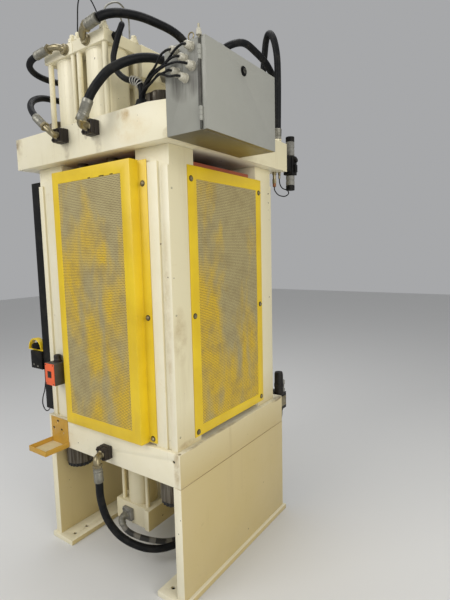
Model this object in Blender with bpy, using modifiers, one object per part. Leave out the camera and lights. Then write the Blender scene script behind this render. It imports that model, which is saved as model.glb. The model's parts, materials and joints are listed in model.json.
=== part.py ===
# Four-column hydraulic press, modelled at its real size in metres, +Z up.
# The operator stands at -Y, the boxed side guards are at +X and -X, and the flat guard is at +Y.
# Every piece is one closed solid. Pieces that touch keep a gap of 0.3 mm.
import math

import bmesh
import bpy
from mathutils import Matrix, Vector

# Clearances and sheet
GAP = 0.0003
SHEET = 0.003
RUN = 0.001
FIT = 0.0001
SINK = 0.002

# Bed and its stand
BED_HALF_X = 0.4595
BED_HALF_Y = 0.468
LEG_T = 0.043
LEG_H = 0.5244
FOOT_T = 0.025
FOOT_HALF_X = 0.472
FOOT_OUT = 0.483
FOOT_IN = 0.315
BED_T = 0.155
BED_BOTTOM = FOOT_T + LEG_H + 2 * GAP
BED_TOP = BED_BOTTOM + BED_T
FOOT_HOLE_R = 0.010
FOOT_HOLE_Y = 0.363
FOOT_HOLE_X = (0.338, 0.417)
LIFT_HOLE_R = 0.007
LIFT_HOLE_Y = 0.433
LIFT_HOLE_DOWN = 0.038

# Crown
COLUMN_H = 1.290
CROWN_T = 0.150
CROWN_BOTTOM = BED_TOP + COLUMN_H + 2 * GAP
CROWN_TOP = CROWN_BOTTOM + CROWN_T
CROWN_X = (-0.4875, 0.4985)
CROWN_Y = (-0.531, 0.498)
CROWN_RELIEF_Y = 0.100
CROWN_RELIEF_Z = 0.010

# Columns, their strain rods and nuts
PRESS_X = 0.025
COLUMN_DX = 0.337
COLUMN_WX = 0.165
COLUMN_OUT = 0.445
COLUMN_IN = 0.255
COLUMN_WALL = 0.020
COLUMN_STEP = 0.010
STRIP_DOWN = (0.060, 0.083)
STRIP_Y = ((0.321, 0.386), (0.411, 0.445))
ROD_R = 0.042
NUT_R = 0.070
NUT_H = 0.062
LOW_NUT_H = 0.106
NUT_STUD = 0.016
LOCK_RING_R = 0.066
LOCK_RING_H = 0.022
LOCK_TEETH = 20

# Main cylinders
CYL_DX = 0.36
CYL_Y = -0.05
CAP_SIDE = 0.210
CAP_T = 0.050
BARREL_H = 0.2988
CAP_BOTTOM = CROWN_TOP + BARREL_H + 2 * GAP
BARREL_R = 0.0915
BARREL_BORE_R = 0.078
TIE_R = 0.0125
TIE_OFFSET = 0.085
TIE_NUT_R = 0.019
TIE_NUT_H = 0.018
TIE_STUD_H = 0.012
PISTON_T = 0.040
PISTON_TOP_GAP = 0.020
PISTON_ROD_R = 0.025

# Slide
SLIDE_CLEAR = 0.0406
SLIDE_T = 0.155
SLIDE_TOP = CROWN_BOTTOM - SLIDE_CLEAR
SLIDE_HALF_X = 0.235
SLIDE_HALF_Y = 0.415
WING_HALF_X = 0.400
WING_HALF_Y = 0.240

# Boxed side guards
GUARD_Y = (-0.255, 0.280)
GUARD_UP = 0.011
GUARD_DOWN = 0.0456
GUARD_DEPTH = 0.050
GUARD_FLANGE = 0.050
GUARD_RIM_SIDE = (0.045, 0.058)
GUARD_RIM_END = (0.055, 0.054)

# Flat rear guard
REAR_X = (-0.278, 0.326)
REAR_UP = 0.024
REAR_DOWN = 0.0676
REAR_RIM_SIDE = (0.050, 0.059)
REAR_RIM_END = (0.047, 0.055)

# Light bars and operator stations
BAR_X = (0.370, 0.420)
BAR_Y = -0.550
BAR_UP = 0.007
BAR_DOWN = 0.0556
PALM_X = (0.370, 0.430)
PALM_DEEP = 0.105
PALM_UP = 0.225
PALM_H = 0.100
BUTTON_IN = 0.033
BUTTON_R = 0.034
BUTTON_H = 0.018
STEM_R = 0.010
STEM_IN = 0.030
BUTTON_TRAVEL = 0.006
RING_HALF = 0.062
RING_H = 0.064
RING_T = 0.007
RING_W = 0.032
RING_SHIFT = 0.012
BASE_T = 0.006
SWITCH_DEEP = 0.070
SWITCH_Y = (-0.386, -0.306)
SWITCH_UP = 0.192
SWITCH_H = 0.115
KNOB_R = 0.018
KNOB_H = 0.034
KNOB_IN = 0.022

# Tray
TRAY_Y = (-0.445, -0.300)
TRAY_DEEP = 0.140
TRAY_UP = 0.006
TRAY_RIM = 0.028
TRAY_PLATE_H = 0.144
TRAY_HOLES = ((0.050, 0.116), (0.025, 0.076), (0.100, 0.066))
TRAY_HOLE_R = 0.005

# Electrical enclosure
BOX_X = (0.0, 0.4985)
BOX_DEEP = 0.1687
BOX_FRONT = CROWN_Y[1] + GAP + BOX_DEEP
BOX_H = 0.3165
DOOR_T = 0.021
BOX_WALL = 0.004
PIN_R = 0.004
PIN_OUT = 0.0055
PIN_ABOVE = 0.038
KNUCKLE_IN = 0.030
KNUCKLE_H = 0.050
LOCK_X = 0.253
LOCK_DOWN = 0.050
LOCK_R = 0.013
LOCK_FLANGE_R = 0.017
LOCK_PROUD = 0.006
CAM_REACH = 0.040
CAM_IN = 0.012
GLAND_R = 0.012
GLAND_LEN = 0.030
GLANDS = ((0.041, 0.025), (0.111, 0.025), (0.072, 0.059), (0.037, 0.092), (0.110, 0.098), (0.071, 0.126))

# Manifold between the cylinder rows, on a neck
MANIFOLD_X = (-0.020, 0.275)
MANIFOLD_Y = (-0.260, 0.160)
NECK_H = 0.214
MANIFOLD_H = 0.140
NECK_X = (0.060, 0.200)
NECK_Y = (-0.150, 0.050)
PORT_R = 0.021
PORT_LEN = 0.015
PORTS_FRONT = ((0.020, 0.050, PORT_R), (0.150, 0.025, PORT_R))
PORTS_BACK = ((0.130, 0.040, 0.018), (0.030, 0.090, 0.018))
PORT_END = (0.050, 0.060, PORT_R)

# Ejector cylinder under the bed
EJECT_X = 0.193
EJECT_Y = -0.009
EJECT_CAP = 0.248
EJECT_CAP_T = 0.109
EJECT_BARREL_H = 0.2924
EJECT_STEP = 0.012
EJECT_STEP_W = 0.030
EJECT_AXIS_X = 0.225
EJECT_BARREL_R = 0.076
EJECT_BORE_R = 0.062
EJECT_ROD_R = 0.022
EJECT_PISTON_T = 0.030
EJECT_TIE_R = 0.012
EJECT_TIE_X = 0.054
EJECT_TIE_Y = 0.086
FLANGE_Y = -0.028
FLANGE_UP = 0.052
FLANGE_SIDE = 0.060
FLANGE_T = 0.018
FLANGE_NECK = 0.012

# Valve on the crown's end
VALVE_OUT = 0.088
VALVE_Y = 0.474
VALVE_UP = 0.054
VALVE_SIDE = 0.058

# Hoses: diameters, then for each hose its direction at both ends and the points chosen along it
HOSE_BIG = 0.036
HOSE_MID = 0.030
HOSE_EJECT = 0.028
BUNDLE_D = 0.024
CRIMP_MORE = 0.004

CROWN_PORTS = {"a": -0.130, "b": 0.084}
CROWN_PORT_UP = 0.1024
BLOCK_W = 0.060
BLOCK_DEEP = 0.046
BED_PORT_Y = 0.008
BED_PORT_DOWN = 0.091

# Points of each fitting as (out from the face, y, up from the crown's underside, the cap's underside
# or the bed's top)
FITTING_ROUTES = {
    "crown_fitting_a": [(0.0415, -0.125, 0.0994), (0.0815, -0.100, 0.0944), (0.0985, -0.128, 0.1264),
                        (0.0865, -0.210, 0.1844)],
    "crown_fitting_b": [(0.0415, 0.090, 0.1024), (0.0835, 0.104, 0.0984), (0.1055, 0.130, 0.1124),
                        (0.1045, 0.150, 0.1344), (0.0945, 0.168, 0.1824)],
    "cap_fitting_a": [(0.0003, -0.098, 0.025), (0.022, -0.104, 0.029), (0.034, -0.135, 0.035),
                      (0.036, -0.195, 0.035), (0.038, -0.265, 0.029)],
    "cap_fitting_b": [(0.0003, 0.050, 0.027), (0.022, 0.054, 0.035), (0.035, 0.074, 0.049),
                      (0.038, 0.112, 0.058), (0.039, 0.172, 0.065)],
    "bed_fitting": [(0.0405, 0.010, -0.090), (0.0775, 0.022, -0.094), (0.0875, 0.032, -0.115),
                    (0.0865, 0.034, -0.145), (0.0835, 0.034, -0.205)],
}
FITTING_HOSE = {
    "crown_fitting_a": "hose_crown_a", "crown_fitting_b": "hose_crown_b",
    "cap_fitting_a": "hose_cap_a", "cap_fitting_b": "hose_cap_b", "bed_fitting": "hose_bed",
}

# The points' heights are above the crown's top, and for the two hoses under the bed above its underside
LOW_HOSES = ("hose_bed", "hose_ejector")
HOSES = {
    "hose_cap_b": (HOSE_BIG, None, (0, -1, 0), [
        (0.529, 0.172, 0.3644), (0.508, 0.192, 0.3784), (0.470, 0.208, 0.3944), (0.419, 0.222, 0.4074),
        (0.353, 0.244, 0.4134), (0.287, 0.268, 0.4074), (0.212, 0.285, 0.4004), (0.150, 0.295, 0.3824),
        (0.090, 0.298, 0.3444), (0.045, 0.272, 0.2964), (0.022, 0.220, 0.2664), (0.020, 0.1753, 0.2644)]),
    "hose_crown_b": (HOSE_BIG, None, (0, -1, 0), [
        (0.593, 0.168, 0.0324), (0.584, 0.180, 0.0604), (0.570, 0.208, 0.0974), (0.550, 0.255, 0.1384),
        (0.490, 0.310, 0.1794), (0.420, 0.342, 0.2024), (0.340, 0.354, 0.2124), (0.270, 0.352, 0.2124),
        (0.210, 0.330, 0.2164), (0.168, 0.288, 0.2264), (0.151, 0.235, 0.2384), (0.150, 0.1753, 0.2394)]),
    "hose_crown_a": (HOSE_MID, None, (0, 1, 0), [
        (0.585, -0.210, 0.0344), (0.567, -0.268, 0.0784), (0.540, -0.316, 0.1204), (0.500, -0.349, 0.1584),
        (0.450, -0.360, 0.1824), (0.395, -0.360, 0.1904), (0.330, -0.357, 0.1944), (0.260, -0.358, 0.2044),
        (0.195, -0.354, 0.2244), (0.148, -0.332, 0.2444), (0.131, -0.300, 0.2534), (0.130, -0.2753, 0.2544)]),
    "hose_cap_a": (HOSE_MID, None, (0, 1, 0), [
        (0.528, -0.265, 0.3284), (0.524, -0.315, 0.3214), (0.507, -0.355, 0.3114), (0.470, -0.381, 0.3004),
        (0.420, -0.388, 0.2924), (0.360, -0.384, 0.2904), (0.280, -0.376, 0.2964), (0.200, -0.368, 0.3044),
        (0.110, -0.358, 0.3104), (0.055, -0.338, 0.3104), (0.032, -0.305, 0.3064), (0.030, -0.2753, 0.3044)]),
    "hose_rear_low": (HOSE_BIG, (-1, 0, 0), (1, 0, 0), [
        (-0.0353, 0.050, 0.2744), (-0.085, 0.058, 0.2760), (-0.112, 0.085, 0.2824), (-0.120, 0.140, 0.3044),
        (-0.120, 0.225, 0.3564), (-0.122, 0.305, 0.4044), (-0.142, 0.358, 0.4384), (-0.242, 0.380, 0.4794), (-0.338, 0.395, 0.4624),
        (-0.448, 0.405, 0.4234), (-0.545, 0.400, 0.3494), (-0.590, 0.370, 0.2444), (-0.600, 0.330, 0.1344),
        (-0.597, 0.306, 0.0424), (-0.580, 0.300, -0.0236), (-0.548, 0.300, -0.0586), (-0.5028, 0.300, -0.0656)]),
    "hose_rear_tall": (HOSE_BIG, (0, 0, 1), (1, 0, 0), [
        (-0.435, 0.468, 0.0203), (-0.436, 0.470, 0.0904), (-0.438, 0.471, 0.2064), (-0.442, 0.470, 0.3384),
        (-0.448, 0.463, 0.4604), (-0.456, 0.440, 0.5554), (-0.470, 0.405, 0.6014), (-0.492, 0.372, 0.5804),
        (-0.512, 0.348, 0.5054), (-0.530, 0.322, 0.4154), (-0.545, 0.262, 0.3564), (-0.545, 0.185, 0.3324),
        (-0.525, 0.105, 0.3254), (-0.490, 0.062, 0.3244), (-0.4553, 0.055, 0.3244)]),
    "hose_bed": (HOSE_BIG, None, (0, 0, 1), [
        (0.543, 0.034, -0.050), (0.532, 0.026, -0.150), (0.500, 0.028, -0.266), (0.450, 0.061, -0.369),
        (0.380, 0.122, -0.440), (0.310, 0.185, -0.466), (0.230, 0.238, -0.460), (0.140, 0.270, -0.440),
        (0.040, 0.285, -0.415), (-0.080, 0.288, -0.395), (-0.220, 0.292, -0.375), (-0.350, 0.310, -0.335),
        (-0.450, 0.340, -0.250), (-0.510, 0.375, -0.140), (-0.528, 0.400, -0.050), (-0.530, 0.410, 0.0297)]),
    "hose_ejector": (HOSE_EJECT, (1, 0, 0), (0, 0, 1), [
        (0.3353, -0.037, -0.350), (0.362, -0.034, -0.360), (0.362, -0.012, -0.400), (0.335, 0.022, -0.438),
        (0.290, 0.080, -0.468), (0.235, 0.140, -0.488), (0.160, 0.178, -0.500), (0.060, 0.198, -0.500),
        (-0.060, 0.205, -0.490), (-0.200, 0.212, -0.465), (-0.350, 0.240, -0.400), (-0.460, 0.280, -0.280),
        (-0.518, 0.320, -0.150), (-0.530, 0.345, -0.050), (-0.530, 0.350, 0.0297)]),
    "cable_bundle": (BUNDLE_D, (0, 1, 0), (0, 0, -1), [
        (0.430, 0.1606, 0.3294), (0.436, 0.192, 0.3364), (0.452, 0.228, 0.3474), (0.466, 0.241, 0.3354),
        (0.469, 0.227, 0.3094), (0.469, 0.206, 0.2694), (0.472, 0.192, 0.2244),
        (0.473, 0.201, 0.1804), (0.472, 0.232, 0.1434), (0.471, 0.270, 0.1184), (0.470, 0.308, 0.1064),
        (0.469, 0.334, 0.0904), (0.469, 0.343, 0.0594), (0.469, 0.342, 0.0207)]),
}
BUNDLE_UP = 0.030
BUNDLE_GLAND = (0.469, 0.342)
BUNDLE_GLAND_R = 0.016
BUNDLE_GLAND_H = 0.020
CROWN_STUB_Y = 0.300
CROWN_STUB_UP = 0.084
TALL_STUB = (-0.435, 0.468)
TALL_STUB_R = 0.022
TALL_STUB_H = 0.020
CAP_STUB_UP = 0.025
REAR_BLOCK_Y = (0.325, 0.445)
REAR_BLOCK_DOWN = 0.005
REAR_BLOCK_H = 0.100
REAR_BLOCK_DEEP = 0.100
REAR_STUBS = ((0.410, 0.021), (0.350, 0.018))
REAR_STUB_OUT = 0.0705
REAR_STUB_H = 0.020
REAR_KNOB = (0.043, 0.425)
REAR_KNOB_R = 0.024
REAR_KNOB_H = 0.130

MATERIALS = {
    "cream": ((0.84, 0.79, 0.63, 1.0), 0.45, 0.0),
    "yellow": ((0.86, 0.62, 0.03, 1.0), 0.45, 0.0),
    "mesh": ((0.55, 0.50, 0.33, 1.0), 0.50, 0.3),
    "steel": ((0.20, 0.18, 0.16, 1.0), 0.45, 0.8),
    "rod": ((0.70, 0.70, 0.70, 1.0), 0.20, 1.0),
    "red": ((0.35, 0.10, 0.05, 1.0), 0.60, 0.0),
    "black": ((0.02, 0.02, 0.022, 1.0), 0.45, 0.0),
    "orange": ((0.80, 0.14, 0.05, 1.0), 0.50, 0.0),
    "grey": ((0.36, 0.36, 0.32, 1.0), 0.45, 0.0),
    "fitting": ((0.30, 0.29, 0.25, 1.0), 0.40, 0.7),
    "rubber": ((0.018, 0.018, 0.02, 1.0), 0.60, 0.0),
}


def clear_scene():
    for old in list(bpy.data.objects):
        bpy.data.objects.remove(old, do_unlink=True)


def new_collection(name):
    group = bpy.data.collections.new(name)
    bpy.context.scene.collection.children.link(group)
    return group


clear_scene()
PRESS = new_collection("hydraulic_press")
TOOLS = new_collection("cutters")


def material(name):
    found = bpy.data.materials.get(name)
    if found:
        return found
    colour, rough, metal = MATERIALS[name]
    mat = bpy.data.materials.new(name)
    mat.use_nodes = True
    shader = mat.node_tree.nodes["Principled BSDF"]
    shader.inputs["Base Color"].default_value = colour
    shader.inputs["Roughness"].default_value = rough
    shader.inputs["Metallic"].default_value = metal
    mat.diffuse_color = colour
    return mat


def place(name, mesh, mat):
    """Put a mesh in the press as a named piece, or among the cutters when it has no material."""
    obj = bpy.data.objects.new(name, mesh)
    if mat is None:
        TOOLS.objects.link(obj)
        obj.hide_render = True
        obj.display_type = "WIRE"
    else:
        PRESS.objects.link(obj)
        mesh.materials.append(material(mat))
    return obj


def mesh_from(name, bm):
    mesh = bpy.data.meshes.new(name)
    bm.to_mesh(mesh)
    bm.free()
    return mesh


def box(name, low, high, mat=None, bevel=0.0):
    """A block between two corners, with its edges bevelled when a width is given."""
    low, high = Vector(low), Vector(high)
    size, centre = high - low, (high + low) / 2
    bm = bmesh.new()
    bmesh.ops.create_cube(bm, size=1.0, matrix=Matrix.Diagonal((*size, 1.0)))
    obj = place(name, mesh_from(name, bm), mat)
    obj.location = centre
    if bevel:
        rounding = obj.modifiers.new("edge", "BEVEL")
        rounding.width = bevel
        rounding.segments = 1
    return obj


AXIS_TURN = {
    "x": Matrix.Rotation(math.pi / 2, 4, "Y"),
    "y": Matrix.Rotation(-math.pi / 2, 4, "X"),
    "z": Matrix.Identity(4),
}


def cylinder(name, base, length, radius, axis="z", mat=None, sides=24):
    """A round bar whose first end is centred on base and which runs along +axis."""
    bm = bmesh.new()
    bmesh.ops.create_cone(
        bm, cap_ends=True, segments=sides, radius1=radius, radius2=radius, depth=length,
        matrix=AXIS_TURN[axis] @ Matrix.Translation((0, 0, length / 2)))
    obj = place(name, mesh_from(name, bm), mat)
    obj.location = base
    smooth(obj)
    return obj


def smooth(obj):
    obj.data.shade_smooth()
    obj.data.set_sharp_from_angle(angle=math.radians(35))


def apply_tool(target, tool, operation):
    step = target.modifiers.new(operation.lower(), "BOOLEAN")
    step.operation = operation
    step.solver = "EXACT"
    step.object = tool


def cut(target, *tools):
    for tool in tools:
        apply_tool(target, tool, "DIFFERENCE")


def join(target, *tools):
    for tool in tools:
        apply_tool(target, tool, "UNION")


def hole(target, base, length, radius, axis="z", sides=24):
    cut(target, cylinder(target.name + "_hole", base, length, radius, axis, sides=sides))


def signs():
    """The four corners, near side first: (name, sign along X, sign along Y)."""
    return (("near_right", 1, 1), ("near_left", 1, -1), ("far_right", -1, 1), ("far_left", -1, -1))


def column_x(side_x):
    return PRESS_X + side_x * COLUMN_DX


COLUMN_MID = (COLUMN_OUT + COLUMN_IN) / 2


def cylinder_places():
    return [(tag, PRESS_X + sx * CYL_DX, CYL_Y + sy * (CAP_SIDE / 2 + GAP)) for tag, sx, sy in signs()]


# Bed, legs and feet
def make_bed():
    bed = box("bed", (-BED_HALF_X, -BED_HALF_Y, BED_BOTTOM), (BED_HALF_X, BED_HALF_Y, BED_TOP),
              "cream", bevel=0.002)
    depth = BED_TOP - BED_BOTTOM + 2 * SINK
    for _, sx, sy in signs():
        hole(bed, (column_x(sx), sy * COLUMN_MID, BED_BOTTOM - SINK), depth, ROD_R + RUN)
    hole(bed, (EJECT_AXIS_X, EJECT_Y, BED_BOTTOM - SINK), depth, EJECT_ROD_R + FIT)
    hole(bed, (BED_HALF_X - 0.02, LIFT_HOLE_Y, BED_TOP - LIFT_HOLE_DOWN), 0.03, LIFT_HOLE_R, "x", 12)


def make_stand():
    for name, side in (("leg_left", -1), ("leg_right", 1)):
        inner, outer = side * (BED_HALF_Y - LEG_T), side * BED_HALF_Y
        box(name, (-BED_HALF_X, min(inner, outer), FOOT_T + GAP),
            (BED_HALF_X, max(inner, outer), BED_BOTTOM - GAP), "cream")
    for name, side in (("foot_bar_left", -1), ("foot_bar_right", 1)):
        ends = sorted((side * FOOT_IN, side * FOOT_OUT))
        foot = box(name, (-FOOT_HALF_X, ends[0], 0), (FOOT_HALF_X, ends[1], FOOT_T), "cream")
        for x in FOOT_HOLE_X:
            for sx in (1, -1):
                hole(foot, (sx * x, side * FOOT_HOLE_Y, -SINK), FOOT_T + 2 * SINK, FOOT_HOLE_R,
                     sides=12)


# Crown
def make_crown():
    crown = box("crown", (CROWN_X[0], CROWN_Y[0], CROWN_BOTTOM), (CROWN_X[1], CROWN_Y[1], CROWN_TOP),
                "cream")
    depth = CROWN_T + 2 * SINK
    for _, sx, sy in signs():
        hole(crown, (column_x(sx), sy * COLUMN_MID, CROWN_BOTTOM - SINK), depth, ROD_R + RUN)
    for _, x, y in cylinder_places():
        hole(crown, (x, y, CROWN_BOTTOM - SINK), depth, PISTON_ROD_R + FIT)
    cut(crown, corner_relief())
    join(crown,
         cylinder("crown_gland", (*BUNDLE_GLAND, CROWN_TOP - 0.03), 0.03 + BUNDLE_GLAND_H,
                  BUNDLE_GLAND_R, sides=12),
         cylinder("crown_stub_top", (*TALL_STUB, CROWN_TOP - SINK), SINK + TALL_STUB_H, TALL_STUB_R,
                  sides=12),
         cylinder("crown_stub_end", (CROWN_X[0] - PORT_LEN, CROWN_STUB_Y, CROWN_BOTTOM + CROWN_STUB_UP),
                  PORT_LEN + SINK, HOSE_BIG / 2 + CRIMP_MORE, "x", sides=12))


def corner_relief():
    """A wedge that slopes the crown's top down towards its near +Y corner."""
    profile = [(CROWN_Y[1] - CROWN_RELIEF_Y, CROWN_TOP), (CROWN_Y[1] + SINK, CROWN_TOP - CROWN_RELIEF_Z),
               (CROWN_Y[1] + SINK, CROWN_TOP + SINK), (CROWN_Y[1] - CROWN_RELIEF_Y, CROWN_TOP + SINK)]
    near = column_x(1) + NUT_R + 0.010
    return prism("relief", profile, near, CROWN_X[1] + SINK)


def prism(name, profile, x0, x1, mat=None):
    """A solid with a (y, z) outline drawn out along X from x0 to x1."""
    bm = bmesh.new()
    face = bm.faces.new([bm.verts.new((x0, y, z)) for y, z in profile])
    grown = bmesh.ops.extrude_face_region(bm, geom=[face])
    moved = [v for v in grown["geom"] if isinstance(v, bmesh.types.BMVert)]
    bmesh.ops.translate(bm, vec=(x1 - x0, 0, 0), verts=moved)
    bmesh.ops.recalc_face_normals(bm, faces=bm.faces)
    return place(name, mesh_from(name, bm), mat)


# Columns with their cover strips, and the strain rods through them
def make_columns():
    low, high = BED_TOP + GAP, CROWN_BOTTOM - GAP
    for tag, sx, sy in signs():
        x = column_x(sx)
        half = COLUMN_WX / 2
        y0, y1 = sorted((sy * COLUMN_IN, sy * COLUMN_OUT))
        column = box("column_" + tag, (x - half, y0, low), (x + half, y1, high), "cream")
        cut(column, box("bore", (x - half + COLUMN_WALL, y0 + COLUMN_WALL, low - SINK),
                        (x + half - COLUMN_WALL, y1 - COLUMN_WALL, high + SINK)))
        cut_face_steps(column, x, sx, sy, high)


def cut_face_steps(column, x, sx, sy, high):
    """The outer X face is set back around two raised cover strips."""
    outer = x + sx * COLUMN_WX / 2
    x0, x1 = sorted((outer - sx * COLUMN_STEP, outer + sx * SINK))
    inner_edge, groove, edge = COLUMN_IN - SINK, STRIP_Y[0][1], STRIP_Y[1][0]
    spans = [(inner_edge, STRIP_Y[0][0], BED_TOP), (groove, edge, BED_TOP),
             (STRIP_Y[0][0] - SINK, groove + SINK, CROWN_BOTTOM - STRIP_DOWN[0]),
             (edge - SINK, COLUMN_OUT + SINK, CROWN_BOTTOM - STRIP_DOWN[1])]
    for a, b, bottom in spans:
        y0, y1 = sorted((sy * a, sy * b))
        cut(column, box("step", (x0, y0, bottom - SINK), (x1, y1, high + SINK)))


def lock_ring(name, x, y, z):
    """A castellated ring: every other pair of its edge points stands in."""
    bm = bmesh.new()
    bmesh.ops.create_cone(bm, cap_ends=True, segments=2 * LOCK_TEETH, radius1=LOCK_RING_R,
                          radius2=LOCK_RING_R, depth=LOCK_RING_H)
    for vert in bm.verts:
        step = round(math.atan2(vert.co.y, vert.co.x) / (math.pi / LOCK_TEETH))
        if step % 2:
            vert.co.x *= 0.92
            vert.co.y *= 0.92
    ring = place(name, mesh_from(name, bm), None)
    ring.location = (x, y, z + LOCK_RING_H / 2)
    return ring


def make_strain_rods():
    bottom = BED_BOTTOM - GAP - LOW_NUT_H
    top = CROWN_TOP + GAP + NUT_H
    for tag, sx, sy in signs():
        x, y = column_x(sx), sy * COLUMN_MID
        rod = cylinder("strain_rod_" + tag, (x, y, bottom - LOCK_RING_H),
                       top - bottom + LOCK_RING_H + NUT_STUD, ROD_R, mat="steel")
        join(rod,
             cylinder("nut_top", (x, y, CROWN_TOP + GAP), NUT_H, NUT_R),
             cylinder("nut_bottom", (x, y, bottom), LOW_NUT_H, NUT_R),
             lock_ring("ring_bottom", x, y, bottom - LOCK_RING_H + RUN))


# Main cylinders on the crown
def make_cylinders():
    base = CROWN_TOP + GAP
    for tag, x, y in cylinder_places():
        barrel = cylinder("cylinder_barrel_" + tag, (x, y, base), CAP_BOTTOM - GAP - base, BARREL_R,
                          mat="cream", sides=32)
        hole(barrel, (x, y, base - SINK), CAP_BOTTOM - base + 2 * SINK, BARREL_BORE_R)
        half = CAP_SIDE / 2
        cap = box("cylinder_cap_" + tag, (x - half, y - half, CAP_BOTTOM),
                  (x + half, y + half, CAP_BOTTOM + CAP_T), "cream", bevel=0.002)
        for _, sx, sy in signs():
            tx, ty = x + sx * TIE_OFFSET, y + sy * TIE_OFFSET
            top = CAP_BOTTOM + CAP_T
            join(cap,
                 cylinder("tie", (tx, ty, base), top + TIE_NUT_H + TIE_STUD_H - base, TIE_R, sides=12),
                 cylinder("tie_nut", (tx, ty, top - SINK), SINK + TIE_NUT_H, TIE_NUT_R, sides=6))
    tall = bpy.data.objects["cylinder_cap_far_right"]
    port_y = cylinder_places()[2][2]
    join(tall, cylinder("cap_stub", (PRESS_X - CYL_DX - CAP_SIDE / 2 - PORT_LEN, port_y,
                                     CAP_BOTTOM + CAP_STUB_UP),
                        PORT_LEN + SINK, PORT_R, "x", sides=12))


# Slide with its four piston rods
def make_slide():
    bottom = SLIDE_TOP - SLIDE_T
    slide = box("slide", (PRESS_X - SLIDE_HALF_X, -SLIDE_HALF_Y, bottom),
                (PRESS_X + SLIDE_HALF_X, SLIDE_HALF_Y, SLIDE_TOP), "red", bevel=0.002)
    join(slide, box("wing", (PRESS_X - WING_HALF_X, -WING_HALF_Y, bottom + RUN),
                    (PRESS_X + WING_HALF_X, WING_HALF_Y, SLIDE_TOP - RUN)))
    piston_top = CAP_BOTTOM - PISTON_TOP_GAP
    for _, x, y in cylinder_places():
        join(slide,
             cylinder("piston_rod", (x, y, SLIDE_TOP - 0.01), piston_top - SLIDE_TOP, PISTON_ROD_R),
             cylinder("piston", (x, y, piston_top - PISTON_T), PISTON_T, BARREL_BORE_R - FIT))


# Guards
def make_side_guard(tag, side):
    """A folded box guard bolted to two columns, and its perforated sheet."""
    back = PRESS_X + side * (COLUMN_DX + COLUMN_WX / 2)
    root = back + side * GAP
    front = root + side * GUARD_DEPTH

    def across(a, b):
        return min(a, b), max(a, b)

    x0, x1 = across(root, front)
    low, high = BED_TOP + GUARD_UP, CROWN_BOTTOM - GUARD_DOWN
    window_y = GUARD_Y[0] + GUARD_RIM_SIDE[0], GUARD_Y[1] - GUARD_RIM_SIDE[1]
    window_z = low + GUARD_RIM_END[0], high - GUARD_RIM_END[1]
    guard = box("side_guard_" + tag, (x0, GUARD_Y[0], low), (x1, GUARD_Y[1], high), "yellow")
    c0, c1 = across(root - side * SINK, front - side * SHEET)
    cut(guard, box("hollow", (c0, GUARD_Y[0] + SHEET, low + SHEET),
                   (c1, GUARD_Y[1] - SHEET, high - SHEET)))
    w0, w1 = across(front - side * 2 * SHEET, front + side * SINK)
    cut(guard, box("window", (w0, window_y[0], window_z[0]),
                   (w1, window_y[1], window_z[1])))
    f0, f1 = across(root, root + side * SHEET)
    for y0, y1 in ((GUARD_Y[0] - GUARD_FLANGE, GUARD_Y[0] + SHEET / 2),
                   (GUARD_Y[1] - SHEET / 2, GUARD_Y[1] + GUARD_FLANGE)):
        join(guard, box("flange", (f0, y0, low + SHEET), (f1, y1, high - SHEET)))
    m0, m1 = across(front - side * SHEET, front - side * GAP * 3)
    box("side_guard_mesh_" + tag, (m0, window_y[0] + GAP, window_z[0] + GAP),
        (m1, window_y[1] - GAP, window_z[1] - GAP), "mesh")


def make_rear_guard():
    inner = COLUMN_OUT + GAP
    low, high = BED_TOP + REAR_UP, CROWN_BOTTOM - REAR_DOWN
    window_x = REAR_X[0] + REAR_RIM_SIDE[0], REAR_X[1] - REAR_RIM_SIDE[1]
    window_z = low + REAR_RIM_END[0], high - REAR_RIM_END[1]
    guard = box("rear_guard", (REAR_X[0], inner, low), (REAR_X[1], inner + SHEET, high), "yellow")
    cut(guard, box("rear_window", (window_x[0], inner - SINK, window_z[0]),
                   (window_x[1], inner + SHEET + SINK, window_z[1])))
    box("rear_guard_mesh", (window_x[0] + GAP, inner, window_z[0] + GAP),
        (window_x[1] - GAP, inner + SHEET - 3 * GAP, window_z[1] - GAP), "mesh")


# Operator side
def make_light_bars():
    low, high = BED_TOP + BAR_UP, CROWN_BOTTOM - BAR_DOWN
    box("light_bar_near", (BAR_X[0], BAR_Y, low), (BAR_X[1], -COLUMN_OUT - GAP, high), "black",
        bevel=0.002)
    mirror = 2 * PRESS_X
    box("light_bar_far", (mirror - BAR_X[1], BAR_Y, low), (mirror - BAR_X[0], -COLUMN_OUT - GAP, high),
        "black", bevel=0.002)


def make_palm_station():
    x = (PALM_X[0] + PALM_X[1]) / 2
    back = BAR_Y - GAP
    front = back - PALM_DEEP
    y = front + BUTTON_IN
    bottom = BED_TOP + PALM_UP
    top = bottom + PALM_H
    case = box("palm_box", (PALM_X[0], front, bottom), (PALM_X[1], back, top), "black", bevel=0.002)
    hole(case, (x, y, top - STEM_IN - BUTTON_TRAVEL - 2 * RUN), STEM_IN + BUTTON_R, STEM_R + FIT)
    arch_y = y - RING_SHIFT
    guard = box("palm_guard", (x - RING_W / 2, arch_y - RING_HALF + RUN, top + GAP),
                (x + RING_W / 2, back, top + GAP + BASE_T), "yellow")
    hole(guard, (x, y, top - SINK), BASE_T + 2 * SINK, STEM_R + RUN)
    join(guard, half_ring(x, arch_y, top + GAP + BASE_T / 2))
    seat = top + GAP + BASE_T + BUTTON_TRAVEL + RUN
    button = cylinder("palm_button", (x, y, seat), BUTTON_H, BUTTON_R, mat="black")
    join(button, cylinder("stem", (x, y, top - STEM_IN + BUTTON_TRAVEL),
                          seat + BUTTON_H / 2 - top + STEM_IN - BUTTON_TRAVEL, STEM_R))


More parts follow.
